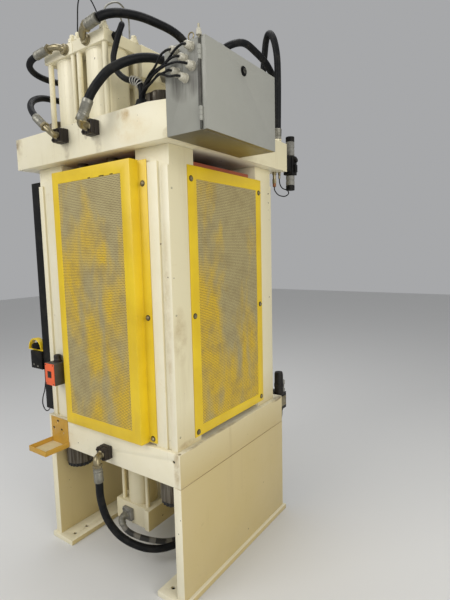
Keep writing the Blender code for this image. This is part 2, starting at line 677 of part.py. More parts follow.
def half_ring(x, y, z):
    """The arch over the button, an arc drawn in the YZ plane and given its width along X."""
    steps = 14
    turns = [math.pi * i / steps for i in range(steps + 1)]
    outer = [(y + RING_HALF * math.cos(t), z + RING_H * math.sin(t)) for t in turns]
    inner = [(y + (RING_HALF - RING_T) * math.cos(t), z + (RING_H - RING_T) * math.sin(t))
             for t in turns]
    return prism("arch", outer + inner[::-1], x - RING_W / 2 + RUN, x + RING_W / 2 - RUN)


def make_switch_box():
    back = column_x(1) + COLUMN_WX / 2 + GAP
    low = BED_TOP + SWITCH_UP
    high = low + SWITCH_H
    case = box("switch_box", (back, SWITCH_Y[0], low), (back + SWITCH_DEEP, SWITCH_Y[1], high),
               "grey", bevel=0.002)
    join(case, cylinder("knob", (back + KNOB_IN, (SWITCH_Y[0] + SWITCH_Y[1]) / 2, high - SINK), KNOB_H,
                        KNOB_R, sides=16))


def make_tray():
    root = BED_HALF_X + GAP
    low, out = BED_BOTTOM + TRAY_UP, root + TRAY_DEEP
    tray = box("tray", (root, TRAY_Y[0], low), (out, TRAY_Y[1], low + TRAY_RIM), "yellow")
    join(tray, box("tray_plate", (root, TRAY_Y[0], low + RUN),
                   (root + SHEET, TRAY_Y[1] - SHEET, low + TRAY_PLATE_H)))
    cut(tray, box("tray_hollow", (root + SHEET, TRAY_Y[0] + SHEET, low + SHEET),
                  (out - SHEET, TRAY_Y[1] - SHEET, low + TRAY_RIM + SINK)))
    for along, up in TRAY_HOLES:
        hole(tray, (root - SINK, TRAY_Y[0] + along, low + up), SHEET + 2 * SINK, TRAY_HOLE_R, "x", 12)


# Electrical enclosure
def make_enclosure():
    back, top = CROWN_Y[1] + GAP, CROWN_BOTTOM + BOX_H
    body = box("enclosure_body", (BOX_X[0], back, CROWN_BOTTOM), (BOX_X[1], BOX_FRONT, top), "grey")
    cut(body, box("body_hollow", (BOX_X[0] + BOX_WALL, back + BOX_WALL, CROWN_BOTTOM + BOX_WALL),
                  (BOX_X[1] - BOX_WALL, BOX_FRONT + SINK, top - BOX_WALL)))
    for inward, down in GLANDS:
        join(body, cylinder("gland", (BOX_X[1] - SINK, BOX_FRONT - inward, top - down), GLAND_LEN, GLAND_R,
                            "x", sides=12))
    door_back = BOX_FRONT + 2 * RUN
    door_front = door_back + DOOR_T
    door = box("enclosure_door", (BOX_X[0], door_back, CROWN_BOTTOM), (BOX_X[1], door_front, top), "grey")
    cut(door, box("door_hollow", (BOX_X[0] + BOX_WALL, door_back - SINK, CROWN_BOTTOM + BOX_WALL),
                  (BOX_X[1] - BOX_WALL, door_front - BOX_WALL, top - BOX_WALL)))
    x, z = LOCK_X, top - LOCK_DOWN
    hole(door, (x, door_back, z), DOOR_T + SINK, LOCK_R + 2 * FIT, "y")
    cylinder("hinge_pin", (BOX_X[1] + PIN_OUT, BOX_FRONT, CROWN_BOTTOM), BOX_H + PIN_ABOVE, PIN_R,
             mat="fitting", sides=16)
    join(bpy.data.objects["hinge_pin"],
         box("hinge_leaf", (BOX_X[1] + GAP, BOX_FRONT - 0.012, CROWN_BOTTOM + KNUCKLE_IN + KNUCKLE_H + RUN),
             (BOX_X[1] + GAP + 0.0025, BOX_FRONT - 0.001, top - KNUCKLE_IN - KNUCKLE_H - RUN)))
    for z0 in (CROWN_BOTTOM + KNUCKLE_IN, top - KNUCKLE_IN - KNUCKLE_H):
        join(door,
             cylinder("knuckle", (BOX_X[1] + PIN_OUT, BOX_FRONT, z0), KNUCKLE_H, PIN_OUT - GAP, sides=16),
             box("strap", (BOX_X[1] - 0.012, door_back + GAP, z0),
                 (BOX_X[1] + PIN_OUT, door_back + SHEET, z0 + KNUCKLE_H)))
        hole(door, (BOX_X[1] + PIN_OUT, BOX_FRONT, z0 - SINK), KNUCKLE_H + 2 * SINK, PIN_R + FIT, sides=16)
    make_door_lock(x, z, door_front)


def make_door_lock(x, z, door_front):
    cam_y = BOX_FRONT - CAM_IN
    lock = cylinder("door_lock", (x, cam_y, z), door_front + LOCK_PROUD - cam_y, LOCK_R, "y", "black")
    join(lock,
         cylinder("lock_flange", (x, door_front + GAP, z), LOCK_PROUD - SINK, LOCK_FLANGE_R, "y"),
         box("cam", (x - LOCK_R / 2, cam_y - SHEET, z - CAM_REACH), (x + LOCK_R / 2, cam_y + RUN, z)))


# Manifold, valve and ejector
def make_manifold():
    base = CROWN_TOP + NECK_H
    block = box("manifold", (MANIFOLD_X[0], MANIFOLD_Y[0], base),
                (MANIFOLD_X[1], MANIFOLD_Y[1], base + MANIFOLD_H), "cream", bevel=0.002)
    join(block, box("neck", (NECK_X[0], NECK_Y[0], CROWN_TOP + GAP), (NECK_X[1], NECK_Y[1], base + 0.01)))
    front, back = MANIFOLD_Y[1] - SINK, MANIFOLD_Y[0] - PORT_LEN
    for x, up, radius in PORTS_FRONT:
        join(block, cylinder("port_front", (x, front, base + up), PORT_LEN + SINK, radius, "y", sides=12))
    for x, up, radius in PORTS_BACK:
        join(block, cylinder("port_back", (x, back, base + up), PORT_LEN + SINK, radius, "y", sides=12))
    y, up, radius = PORT_END
    join(block, cylinder("port_end", (MANIFOLD_X[0] - PORT_LEN, y, base + up), PORT_LEN + SINK, radius,
                         "x", sides=12))


def make_valve():
    half = VALVE_SIDE / 2
    x, z = CROWN_X[0] - VALVE_OUT, CROWN_BOTTOM + VALVE_UP
    valve = box("valve", (x - half, VALVE_Y - half, z - 0.060), (x + half, VALVE_Y + half, z + 0.045),
                "black", bevel=0.002)
    low = z - 0.145
    join(valve,
         cylinder("valve_core", (x, VALVE_Y, low + 0.02), 0.270, 0.022, sides=16),
         cylinder("valve_cap_low", (x, VALVE_Y, low), 0.026, 0.024, sides=16),
         cylinder("valve_cap_high", (x, VALVE_Y, low + 0.272), 0.022, 0.024, sides=16),
         box("valve_foot", (x, VALVE_Y - 0.022, z - 0.045), (CROWN_X[0] - GAP, VALVE_Y + 0.022, z + 0.040)))


def make_ejector():
    half = EJECT_CAP / 2
    base = BED_BOTTOM - GAP - EJECT_BARREL_H
    high = base - GAP
    low = high - EJECT_CAP_T
    barrel = cylinder("ejector_barrel", (EJECT_AXIS_X, EJECT_Y, base), EJECT_BARREL_H, EJECT_BARREL_R,
                      mat="cream", sides=32)
    hole(barrel, (EJECT_AXIS_X, EJECT_Y, base - SINK), EJECT_BARREL_H + 2 * SINK, EJECT_BORE_R)
    cap = box("ejector_cap", (EJECT_X - half, EJECT_Y - half, low),
              (EJECT_X + half, EJECT_Y + half, high), "cream", bevel=0.002)
    cut(cap, box("cap_step", (EJECT_X + half - EJECT_STEP, EJECT_Y - half - SINK, low - SINK),
                 (EJECT_X + half + SINK, EJECT_Y + half - EJECT_STEP_W, high + SINK)))
    face = EJECT_X + half - EJECT_STEP
    z, side = low + FLANGE_UP, FLANGE_SIDE / 2
    join(cap, box("port_flange", (face - SINK, EJECT_Y + FLANGE_Y - side, z - side),
                  (face + FLANGE_T, EJECT_Y + FLANGE_Y + side, z + side)),
         cylinder("port_neck", (face, EJECT_Y + FLANGE_Y, z), FLANGE_T + FLANGE_NECK,
                  HOSE_EJECT / 2 + CRIMP_MORE, "x", sides=12))
    for _, sx, sy in signs():
        join(cap, cylinder("ejector_tie", (EJECT_AXIS_X + sx * EJECT_TIE_X,
                                           EJECT_Y + sy * EJECT_TIE_Y, high - SINK),
                           BED_BOTTOM - GAP - high + SINK, EJECT_TIE_R, sides=12))
    rod = cylinder("ejector_rod", (EJECT_AXIS_X, EJECT_Y, base + EJECT_PISTON_T / 2),
                   BED_TOP - RUN - base - EJECT_PISTON_T / 2, EJECT_ROD_R, mat="rod")
    join(rod, cylinder("ejector_piston", (EJECT_AXIS_X, EJECT_Y, base + RUN), EJECT_PISTON_T,
                       EJECT_BORE_R - FIT))


# Fittings and hoses
def smooth_route(points, spacing):
    """Points along a Catmull-Rom curve through the route, about one spacing apart."""
    pts = [Vector(p) for p in points]
    pts = [2 * pts[0] - pts[1]] + pts + [2 * pts[-1] - pts[-2]]
    fine = []
    for i in range(1, len(pts) - 2):
        a, b, c, d = pts[i - 1:i + 3]
        for k in range(12):
            t = k / 12
            fine.append(0.5 * ((2 * b) + (c - a) * t + (2 * a - 5 * b + 4 * c - d) * t ** 2
                               + (3 * b - a - 3 * c + d) * t ** 3))
    fine.append(pts[-2])
    total = sum((q - p).length for p, q in zip(fine, fine[1:]))
    count = max(4, round(total / spacing))
    route, walked, goal = [fine[0]], 0.0, total / count
    for p, q in zip(fine, fine[1:]):
        step = (q - p).length
        while walked + step >= goal and len(route) < count:
            route.append(p.lerp(q, (goal - walked) / step))
            goal += total / count
        walked += step
    return route + [fine[-1]]


def curve_tube(name, route, radius, mat):
    curve = bpy.data.curves.new(name, "CURVE")
    curve.dimensions = "3D"
    curve.bevel_depth = radius
    curve.bevel_resolution = 2
    curve.use_fill_caps = True
    spline = curve.splines.new("POLY")
    spline.points.add(len(route) - 1)
    for point, co in zip(spline.points, route):
        point.co = (*co, 1.0)
    curve.materials.append(material(mat))
    tube = bpy.data.objects.new(name, curve)
    PRESS.objects.link(tube)
    return tube


def lofted_tube(name, route, radii, heading, mat, sides=14):
    """A tube through the route whose rings have their own radii. It starts towards +X and its
    last ring faces heading."""
    bm = bmesh.new()
    rings = []
    across = Vector((0, 0, 1))
    for i, (centre, radius) in enumerate(zip(route, radii)):
        if i == 0:
            ahead = Vector((1, 0, 0))
        elif i == len(route) - 1:
            ahead = heading
        else:
            ahead = (route[i + 1] - route[i - 1]).normalized()
        across = (across - ahead * across.dot(ahead)).normalized()
        over = across.cross(ahead)
        rings.append([bm.verts.new(centre + radius * (across * math.cos(2 * math.pi * k / sides)
                                                      + over * math.sin(2 * math.pi * k / sides)))
                      for k in range(sides)])
    for a, b in zip(rings, rings[1:]):
        for k in range(sides):
            bm.faces.new((a[k], a[(k + 1) % sides], b[(k + 1) % sides], b[k]))
    bm.faces.new(rings[0][::-1])
    bm.faces.new(rings[-1])
    bmesh.ops.recalc_face_normals(bm, faces=bm.faces)
    obj = place(name, mesh_from(name, bm), mat)
    smooth(obj)
    return obj


def fitting_points(name):
    if name.startswith("crown"):
        face, level = CROWN_X[1], CROWN_BOTTOM
    elif name.startswith("cap"):
        face, level = PRESS_X + CYL_DX + CAP_SIDE / 2, CAP_BOTTOM
    else:
        face, level = BED_HALF_X, BED_TOP
    return [(face + out, y, level + up) for out, y, up in FITTING_ROUTES[name]]


def make_fittings():
    for name, hose_name in FITTING_HOSE.items():
        hose = HOSES[hose_name][0]
        heading = hose_route(hose_name)[1]
        route = smooth_route(fitting_points(name), 0.008)
        count = len(route)
        radii = [hose / 2 + CRIMP_MORE if i > 0.55 * count else hose / 2 - 0.002 for i in range(count)]
        tube = lofted_tube(name, route, radii, heading, "fitting")
        if name.startswith("crown"):
            join(tube, port_block(CROWN_X[1] + GAP, CROWN_PORTS[name[-1]], CROWN_BOTTOM + CROWN_PORT_UP))
        elif name == "bed_fitting":
            join(tube, port_block(BED_HALF_X + GAP, BED_PORT_Y, BED_TOP - BED_PORT_DOWN))


def hose_route(name):
    """The hose's points and its first direction. Both ends run straight out of what they join."""
    diameter, start, end, points = HOSES[name]
    level = BED_BOTTOM if name in LOW_HOSES else CROWN_TOP
    points = [(x, y, level + up) for x, y, up in points]
    for fitting, hose in FITTING_HOSE.items():
        if hose == name:
            points[0] = fitting_points(fitting)[-1]
    if name == "cable_bundle":
        points[0] = (points[0][0], CYL_Y + GAP + CAP_SIDE + GAP, CAP_BOTTOM + BUNDLE_UP)
    if name in LOW_HOSES:
        points[-1] = (-BED_HALF_X - REAR_STUB_OUT, *points[-1][1:])
    route = smooth_route(points, 1.6 * diameter)
    if start:
        route.insert(1, route[0] + Vector(start) * 0.5 * diameter)
    heading = (route[1] - route[0]).normalized()
    if not start:
        route[0] = route[0] + heading * GAP
    route.insert(-1, route[-1] - Vector(end) * 0.5 * diameter)
    return route, heading


def port_block(root, y, z):
    half = BLOCK_W / 2
    return box("port_block", (root, y - half, z - half), (root + BLOCK_DEEP, y + half, z + half))


def make_rear_fitting():
    root, high = -BED_HALF_X - GAP, BED_TOP - REAR_BLOCK_DOWN
    low = high - REAR_BLOCK_H
    block = box("rear_fitting", (root - REAR_BLOCK_DEEP, REAR_BLOCK_Y[0], low),
                (root, REAR_BLOCK_Y[1], high), "black", bevel=0.002)
    for y, radius in REAR_STUBS:
        join(block, cylinder("rear_stub", (root - REAR_STUB_OUT + GAP, y, low - REAR_STUB_H),
                             REAR_STUB_H + SINK, radius, sides=12))
    join(block, cylinder("rear_knob", (root - REAR_KNOB[0], REAR_KNOB[1], high - SINK),
                         REAR_KNOB_H, REAR_KNOB_R, sides=12))


def make_hoses():
    for name, hose in HOSES.items():
        curve_tube(name, hose_route(name)[0], hose[0] / 2, "rubber")


def recentre():
    """Stand the press on the ground with its own box, hoses apart, centred on the origin."""
    bpy.context.view_layer.update()
    graph = bpy.context.evaluated_depsgraph_get()
    low, high = [math.inf] * 2, [-math.inf] * 2
    for obj in PRESS.objects:
        if obj.name in HOSES:
            continue
        shown = obj.evaluated_get(graph)
        for corner in shown.bound_box:
            point = shown.matrix_world @ Vector(corner)
            for i in range(2):
                low[i] = min(low[i], point[i])
                high[i] = max(high[i], point[i])
    base = bpy.data.objects.new("press_base", None)
    PRESS.objects.link(base)
    for group in (PRESS, TOOLS):
        for obj in group.objects:
            if obj is not base:
                obj.parent = base
    base.location = (-(low[0] + high[0]) / 2, -(low[1] + high[1]) / 2, 0)
    bpy.context.view_layer.update()


def build():
    make_bed()
    make_stand()
    make_crown()
    make_columns()
    make_strain_rods()
    make_cylinders()
    make_slide()
    make_side_guard("near", 1)
    make_side_guard("far", -1)
    make_rear_guard()
    make_light_bars()
    make_palm_station()
    make_switch_box()
    make_tray()
    make_enclosure()
    make_manifold()
    make_valve()
    make_ejector()
    make_fittings()
    make_rear_fitting()
    make_hoses()
    recentre()


build()
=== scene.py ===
"""Looks of the hydraulic press: paint, dirt, guards, hoses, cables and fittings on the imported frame."""

import json
import math

import bmesh
import bpy
from mathutils import Matrix, Vector

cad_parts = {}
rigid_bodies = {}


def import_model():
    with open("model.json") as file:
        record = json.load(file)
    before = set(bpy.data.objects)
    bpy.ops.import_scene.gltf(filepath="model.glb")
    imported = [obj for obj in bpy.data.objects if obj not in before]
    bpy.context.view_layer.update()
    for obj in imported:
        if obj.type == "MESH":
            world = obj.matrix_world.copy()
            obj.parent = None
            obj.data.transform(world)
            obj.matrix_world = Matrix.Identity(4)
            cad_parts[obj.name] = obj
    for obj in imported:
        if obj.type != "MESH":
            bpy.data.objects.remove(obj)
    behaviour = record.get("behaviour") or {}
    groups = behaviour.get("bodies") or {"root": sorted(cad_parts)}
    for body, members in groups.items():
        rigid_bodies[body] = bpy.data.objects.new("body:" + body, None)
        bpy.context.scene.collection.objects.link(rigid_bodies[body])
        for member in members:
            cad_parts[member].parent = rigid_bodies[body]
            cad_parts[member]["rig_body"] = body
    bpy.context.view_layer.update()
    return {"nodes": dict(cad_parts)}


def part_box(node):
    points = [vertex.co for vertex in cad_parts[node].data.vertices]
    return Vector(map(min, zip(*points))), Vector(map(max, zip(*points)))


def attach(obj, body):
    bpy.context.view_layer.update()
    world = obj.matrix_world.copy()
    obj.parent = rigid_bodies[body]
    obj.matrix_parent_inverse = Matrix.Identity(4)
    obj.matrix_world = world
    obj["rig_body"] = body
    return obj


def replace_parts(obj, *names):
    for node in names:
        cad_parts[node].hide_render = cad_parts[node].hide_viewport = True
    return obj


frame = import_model()
NODES = frame["nodes"]


# Places below are given from the bed's centre; SHIFT takes them to the row frame.
bed_low, bed_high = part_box("bed")
SHIFT = Vector(((bed_low.x + bed_high.x) / 2, (bed_low.y + bed_high.y) / 2, 0.0))


def at(x, y, z):
    return Vector((x, y, z)) + SHIFT


# Directions, the signs of four corners, and places on the part that more than one section needs
TO_X, TO_Y, UP, DOWN = (1, 0, 0), (0, 1, 0), (0, 0, 1), (0, 0, -1)
FOUR = ((-1, -1), (-1, 1), (1, -1), (1, 1))
RING_TOP = 0.4438
SLIDE_TOP = 1.955
CAP_TOP = 2.495
BOX_SIDE, BOX_FRONT, BOX_TOP = 0.4985, 0.667, 2.3121

# Camera, as fitted to the photograph: focal length in its pixels, place, and its axes' directions
FOCAL_PX = 441.5
PHOTO_H = 600
CAMERA_PLACE = (1.7966, 1.6657, 1.5607)
CAMERA_RIGHT = (-0.5747, 0.8181, -0.023)
CAMERA_AHEAD = (-0.8119, -0.5734, -0.1098)


def enter(obj):
    bpy.context.scene.collection.objects.link(obj)
    return obj


def make_camera():
    data = bpy.data.cameras.new("camera")
    data.sensor_width = 36
    data.lens = FOCAL_PX * data.sensor_width / PHOTO_H
    camera = enter(bpy.data.objects.new("camera", data))
    right = Vector(CAMERA_RIGHT).normalized()
    ahead = Vector(CAMERA_AHEAD)
    ahead = (ahead - right * ahead.dot(right)).normalized()
    turn = Matrix((right, right.cross(ahead), -ahead)).transposed().to_4x4()
    camera.matrix_world = Matrix.Translation(at(*CAMERA_PLACE)) @ turn
    bpy.context.scene.camera = camera


make_camera()


# Materials
def srgb(r, g, b):
    """A colour written as it shows on screen, 0 to 255, as linear values."""
    def linear(v):
        v /= 255
        return v / 12.92 if v <= 0.04045 else ((v + 0.055) / 1.055) ** 2.4
    return linear(r), linear(g), linear(b)


def is_socket(value):
    return isinstance(value, bpy.types.NodeSocket)


class Paint:
    """A Principled material, built up in layers of tone, with short calls for the nodes that drive it."""

    def __init__(self, name, tone, rough=0.5, metal=0.0, spec=None):
        self.mat = bpy.data.materials.new(name)
        self.mat.use_nodes = True
        self.tree = self.mat.node_tree
        self.bsdf = self.tree.nodes["Principled BSDF"]
        self.bsdf.inputs["Roughness"].default_value = rough
        self.bsdf.inputs["Metallic"].default_value = metal
        if spec is not None:
            self.bsdf.inputs["Specular IOR Level"].default_value = spec
        self.coords = self.add("ShaderNodeTexCoord").outputs["Object"]
        self.parts = self.split(self.coords)
        self.facing = None
        self.tone = srgb(*tone)

    def add(self, kind, **values):
        node = self.tree.nodes.new(kind)
        for key, value in values.items():
            setattr(node, key, value)
        return node

    def link(self, source, target):
        if is_socket(source):
            self.tree.links.new(source, target)
        else:
            target.default_value = source

    def split(self, vector):
        node = self.add("ShaderNodeSeparateXYZ")
        self.link(vector, node.inputs[0])
        return node.outputs

    def axis(self, name):
        return self.parts[name]

    def normal(self, name):
        if self.facing is None:
            self.facing = self.split(self.add("ShaderNodeNewGeometry").outputs["Normal"])
        return self.facing[name]

    def noise(self, scale, detail=4.0, rough=0.55, stretch=None, distortion=0.0):
        node = self.add("ShaderNodeTexNoise")
        for key, number in (("Scale", scale), ("Detail", detail), ("Roughness", rough),
                            ("Distortion", distortion)):
            node.inputs[key].default_value = number
        vector = self.coords
        if stretch:
            mapping = self.add("ShaderNodeMapping")
            mapping.inputs["Scale"].default_value = stretch
            self.link(self.coords, mapping.inputs["Vector"])
            vector = mapping.outputs["Vector"]
        self.link(vector, node.inputs["Vector"])
        return node.outputs["Fac"]

    def ramp(self, value, low, high, a=0.0, b=1.0):
        node = self.add("ShaderNodeMapRange", clamp=True)
        for key, number in (("From Min", low), ("From Max", high), ("To Min", a), ("To Max", b)):
            node.inputs[key].default_value = number
        self.link(value, node.inputs["Value"])
        return node.outputs["Result"]

    def math(self, operation, a, b=0.0):
        node = self.add("ShaderNodeMath", operation=operation)
        for socket, value in zip(node.inputs, (a, b, 0.0)):
            self.link(value, socket)
        return node.outputs[0]

    def times(self, a, b):
        return self.math("MULTIPLY", a, b)

    def mix(self, factor, a, b):
        node = self.add("ShaderNodeMix", data_type="RGBA")
        self.link(factor, node.inputs[0])
        for socket, value in ((node.inputs[6], a), (node.inputs[7], b)):
            self.link(value if is_socket(value) else (*value, 1.0), socket)
        return node.outputs[2]

    def spot(self, centre, size):
        """1 at a point and 0 beyond the ellipsoid of that size around it."""
        total = None
        for name, c, s in zip("XYZ", at(*centre), size):
            gap = self.times(self.math("SUBTRACT", self.axis(name), c), 1 / s)
            square = self.times(gap, gap)
            total = square if total is None else self.math("ADD", total, square)
        return self.ramp(total, 0.25, 1.0, 1.0, 0.0)

    def lay(self, amount, tone):
        """Mix a tone over the tone so far."""
        self.tone = self.mix(amount, self.tone, tone if is_socket(tone) else srgb(*tone))

    def cover(self, mask, low, high, share, tone):
        """Mix a tone over the tone so far, up to share, where the mask rises from low to high."""
        self.lay(self.ramp(mask, low, high, 0.0, share), tone)

    def drive(self, socket, mask, low, high, a, b):
        """Run a shader's socket from a to b where the mask rises from low to high."""
        self.link(self.ramp(mask, low, high, a, b), self.bsdf.inputs[socket])

    def bump(self, height, distance, strength):
        node = self.add("ShaderNodeBump")
        node.inputs["Distance"].default_value = distance
        node.inputs["Strength"].default_value = strength
        self.link(height, node.inputs["Height"])
        self.link(node.outputs["Normal"], self.bsdf.inputs["Normal"])

    def finish(self, grain=None, depth=0.0004, strength=0.35):
        """Put the tone on the shader, and a fine grain where one is given."""
        self.link(self.tone, self.bsdf.inputs["Base Color"])
        if grain:
            self.bump(self.noise(grain, 2.0), depth, strength)
        return self


def cream_paint(name, grime=0.35, base=(236, 229, 204), marks=(), painted_shade_and_seam=()):
    """Old cream paint with drips, dust and chips, and +Y faces painted tan as painted side light. marks and
    painted_shade_and_seam are (centre, size, tone, strength); painted_shade_and_seam holds smooth spots of
    painted shade and one thin seam band.
    """
    paint = Paint(name, base, 0.42)
    cloud = paint.noise(3.0, 5.0)
    paint.cover(cloud, 0.35, 0.7, 1.0, (base[0] - 10, base[1] - 11, base[2] - 18))
    # Faces turned to +Y are painted tan, deeper low down than high up: painted warm side light and shade.
    painted_side_light = paint.mix(paint.ramp(paint.axis("Z"), 0.56, 0.9), srgb(190, 168, 106), srgb(224, 214, 176))
    paint.cover(paint.normal("Y"), 0.5, 1.0, 0.85, painted_side_light)
    drips = paint.noise(1.0, 6.0, stretch=(22.0, 22.0, 1.6), distortion=0.4)
    paint.cover(drips, 0.6, 0.78, grime, (178, 158, 114))
    paint.cover(paint.noise(42.0, 6.0, 0.7), 0.62, 0.8, grime * 0.8, (130, 112, 80))
    paint.cover(paint.noise(9.0, 6.0, 0.75), 0.63, 0.7, grime, (204, 184, 132))
    paint.cover(paint.noise(17.0, 3.0, 0.8), 0.722, 0.732, 0.85, (84, 68, 48))
    for centre, size, stain, strength in marks:
        ragged = paint.ramp(paint.noise(15.0, 6.0, 0.72), 0.34, 0.66)
        paint.lay(paint.times(paint.times(paint.spot(centre, size), ragged), strength), stain)
    # Smooth spots of painted shade, and a thin darker band along a seam
    for centre, size, spot_tone, strength in painted_shade_and_seam:
        paint.lay(paint.times(paint.spot(centre, size), strength), spot_tone)
    paint.drive("Roughness", cloud, 0.3, 0.7, 0.36, 0.52)
    return paint.finish(260.0)


def yellow_paint(name):
    paint = Paint(name, (230, 197, 30), 0.4)
    paint.cover(paint.noise(5.0, 4.0), 0.35, 0.7, 1.0, (215, 180, 22))
    paint.cover(paint.noise(30.0, 6.0, 0.7), 0.64, 0.78, 0.45, (160, 128, 34))
    paint.cover(paint.noise(1.0, 5.0, stretch=(14.0, 14.0, 2.0)), 0.62, 0.8, 0.4, (196, 160, 60))
    return paint.finish(220.0, strength=0.3)


HOLE_PITCH = 0.0085
ROW_STEP = 0.866


def perforated(name, across):
    """Round staggered holes drawn in the plane of the sheet; across names its level axis."""
    paint = Paint(name, (184, 170, 122), 0.5)
    u = paint.times(paint.axis(across), 1 / HOLE_PITCH)
    v = paint.times(paint.axis("Z"), 1 / (HOLE_PITCH * ROW_STEP))
    odd = paint.math("MODULO", paint.math("ABSOLUTE", paint.math("FLOOR", v)), 2.0)
    cu = paint.math("SUBTRACT", paint.math("FRACT", paint.math("ADD", u, paint.times(odd, 0.5))), 0.5)
    cv = paint.times(paint.math("SUBTRACT", paint.math("FRACT", v), 0.5), ROW_STEP)
    reach = paint.math("SQRT", paint.math("ADD", paint.times(cu, cu), paint.times(cv, cv)))
    metal = paint.ramp(reach, 0.27, 0.34)
    blotch = paint.noise(4.0, 4.0, 0.55, stretch=(1.4, 1.4, 0.6), distortion=0.3)
    lower = paint.math("ADD", blotch, paint.ramp(paint.axis("Z"), 0.75, 1.5, 0.09, -0.03))
    paint.cover(lower, 0.43, 0.6, 0.95, (230, 190, 34))
    paint.cover(paint.noise(14.0, 5.0, 0.65), 0.46, 0.74, 0.6, (150, 133, 92))
    # The holes are painted dark: painted shade of the machine's inside seen through them.
    paint.tone = paint.mix(metal, srgb(94, 79, 28), paint.tone)
    paint.bump(metal, 0.0008, 0.5)
    return paint.finish()


def steel(name, tone, rough, grime=0.4, dirt=(52, 44, 34)):
    paint = Paint(name, tone, rough, metal=0.85)
    cloud = paint.noise(24.0, 5.0, 0.6)
    paint.cover(cloud, 0.45, 0.72, grime, dirt)
    paint.drive("Roughness", cloud, 0.3, 0.7, rough - 0.08, rough + 0.2)
    return paint.finish(300.0, 0.0003, 0.3)


def strain_steel(name):
    """Dark steel with upright streaks on the nuts; the toothed rings below them are black."""
    paint = Paint(name, (122, 116, 104), 0.42, metal=0.7)
    streak = paint.noise(1.0, 5.0, 0.6, stretch=(70.0, 70.0, 5.0))
    paint.cover(streak, 0.36, 0.64, 1.0, (62, 52, 40))
    ring = paint.ramp(paint.axis("Z"), RING_TOP, RING_TOP + 0.0002, 1.0, 0.0)
    paint.lay(ring, (22, 21, 20))
    paint.drive("Metallic", ring, 0.0, 1.0, 0.7, 0.1)
    paint.drive("Roughness", streak, 0.3, 0.7, 0.34, 0.6)
    return paint.finish(300.0, 0.0003, 0.3)


def pin_steel(name):
    """The hinge's pin: dull and grimy beside the box, brighter where it stands above the box."""
    paint = Paint(name, (74, 73, 67), 0.45, metal=0.5)
    paint.cover(paint.noise(30.0, 5.0, 0.6), 0.4, 0.7, 1.0, (44, 43, 39))
    paint.cover(paint.axis("Z"), 2.3, 2.314, 1.0, (168, 162, 140))
    return paint.finish(300.0, 0.0003, 0.3)


def plain(name, tone, rough=0.5, dust=(120, 112, 96), amount=0.25, spec=None):
    paint = Paint(name, tone, rough, spec=spec)
    cloud = paint.noise(16.0, 6.0, 0.65)
    paint.cover(cloud, 0.5, 0.8, amount, dust)
    paint.drive("Roughness", cloud, 0.3, 0.75, rough - 0.06, rough + 0.14)
    return paint.finish(220.0)


def slide_paint(name):
    """Red oxide on the slide, and ground steel on the piston rods that stand on it."""
    paint = Paint(name, (166, 84, 56), 0.6)
    paint.cover(paint.noise(16.0, 6.0, 0.65), 0.5, 0.8, 0.5, (96, 52, 38))
    rods = paint.ramp(paint.axis("Z"), SLIDE_TOP + 0.0002, SLIDE_TOP + 0.0005)
    paint.lay(rods, (150, 150, 148))
    paint.drive("Metallic", rods, 0.0, 1.0, 0.0, 1.0)
    paint.drive("Roughness", rods, 0.0, 1.0, 0.6, 0.24)
    return paint.finish(240.0)


def enclosure_paint(name):
    """Grey paint; faces turned to +Y painted lighter as painted light, undersides painted olive as painted
    shade, and dark streaks below the cable glands that are grime runs and painted shadow of the hanging
    cables.
    """
    paint = Paint(name, (150, 150, 141), 0.44)
    cloud = paint.noise(6.0, 6.0, 0.6)
    paint.cover(cloud, 0.4, 0.75, 0.6, (134, 134, 125))
    # Faces turned to +Y, the door among them, are painted lighter grey: painted light.
    paint.cover(paint.normal("Y"), 0.5, 0.9, 0.6, (158, 158, 150))
    # Undersides are painted olive, darker toward the +X side: painted shade.
    painted_underside_shade = paint.mix(paint.ramp(paint.axis("X"), 0.05, 0.5), srgb(136, 116, 36), srgb(78, 74, 60))
    paint.cover(paint.normal("Z"), -0.5, -0.9, 0.9, painted_underside_shade)
    # Dark streaks below the cable glands: grime runs and painted shadow of the cables hanging in front.
    drips = paint.ramp(paint.noise(1.0, 5.0, stretch=(40.0, 40.0, 4.0), distortion=0.5), 0.36, 0.6)
    for centre, size, strength in (((BOX_SIDE, 0.59, 2.16), (0.03, 0.075, 0.06), 0.9),
                                   ((BOX_SIDE, 0.56, 2.21), (0.03, 0.05, 0.07), 0.6),
                                   ((BOX_SIDE, 0.63, 2.2), (0.03, 0.03, 0.1), 0.5)):
        paint.lay(paint.times(paint.times(paint.spot(centre, size), drips), strength), (88, 86, 78))
    paint.drive("Roughness", cloud, 0.3, 0.75, 0.38, 0.56)
    return paint.finish(240.0)


def uv_of(paint):
    return paint.add("ShaderNodeTexCoord").outputs["UV"]


def banded_sleeve(name):
    """The abrasion sleeve on the ejector's hose: dark and pale grey bands, each a few centimetres long."""
    paint = Paint(name, (42, 41, 39), 0.5)
    along = paint.math("FRACT", paint.times(paint.split(uv_of(paint))["X"], 1 / 0.084))
    ragged = paint.math("ADD", along, paint.times(paint.noise(38.0, 4.0), 0.5))
    paint.cover(ragged, 0.78, 0.92, 1.0, (116, 112, 103))
    return paint.finish(300.0, 0.0005, 0.4)


def hose_rubber(name, tone):
    """Rubber with the faint cloth wrap that presses into a hydraulic hose. UV runs in metres."""
    paint = Paint(name, tone, 0.5, spec=0.16)
    wrap = paint.add("ShaderNodeTexWave", wave_type="BANDS", bands_direction="X", wave_profile="SIN")
    wrap.inputs["Scale"].default_value = 55.0
    wrap.inputs["Distortion"].default_value = 0.6
    paint.link(uv_of(paint), wrap.inputs["Vector"])
    paint.cover(paint.noise(20.0, 5.0, 0.6), 0.5, 0.85, 0.35, (78, 74, 66))
    paint.bump(wrap.outputs["Fac"], 0.0006, 0.35)
    return paint.finish()


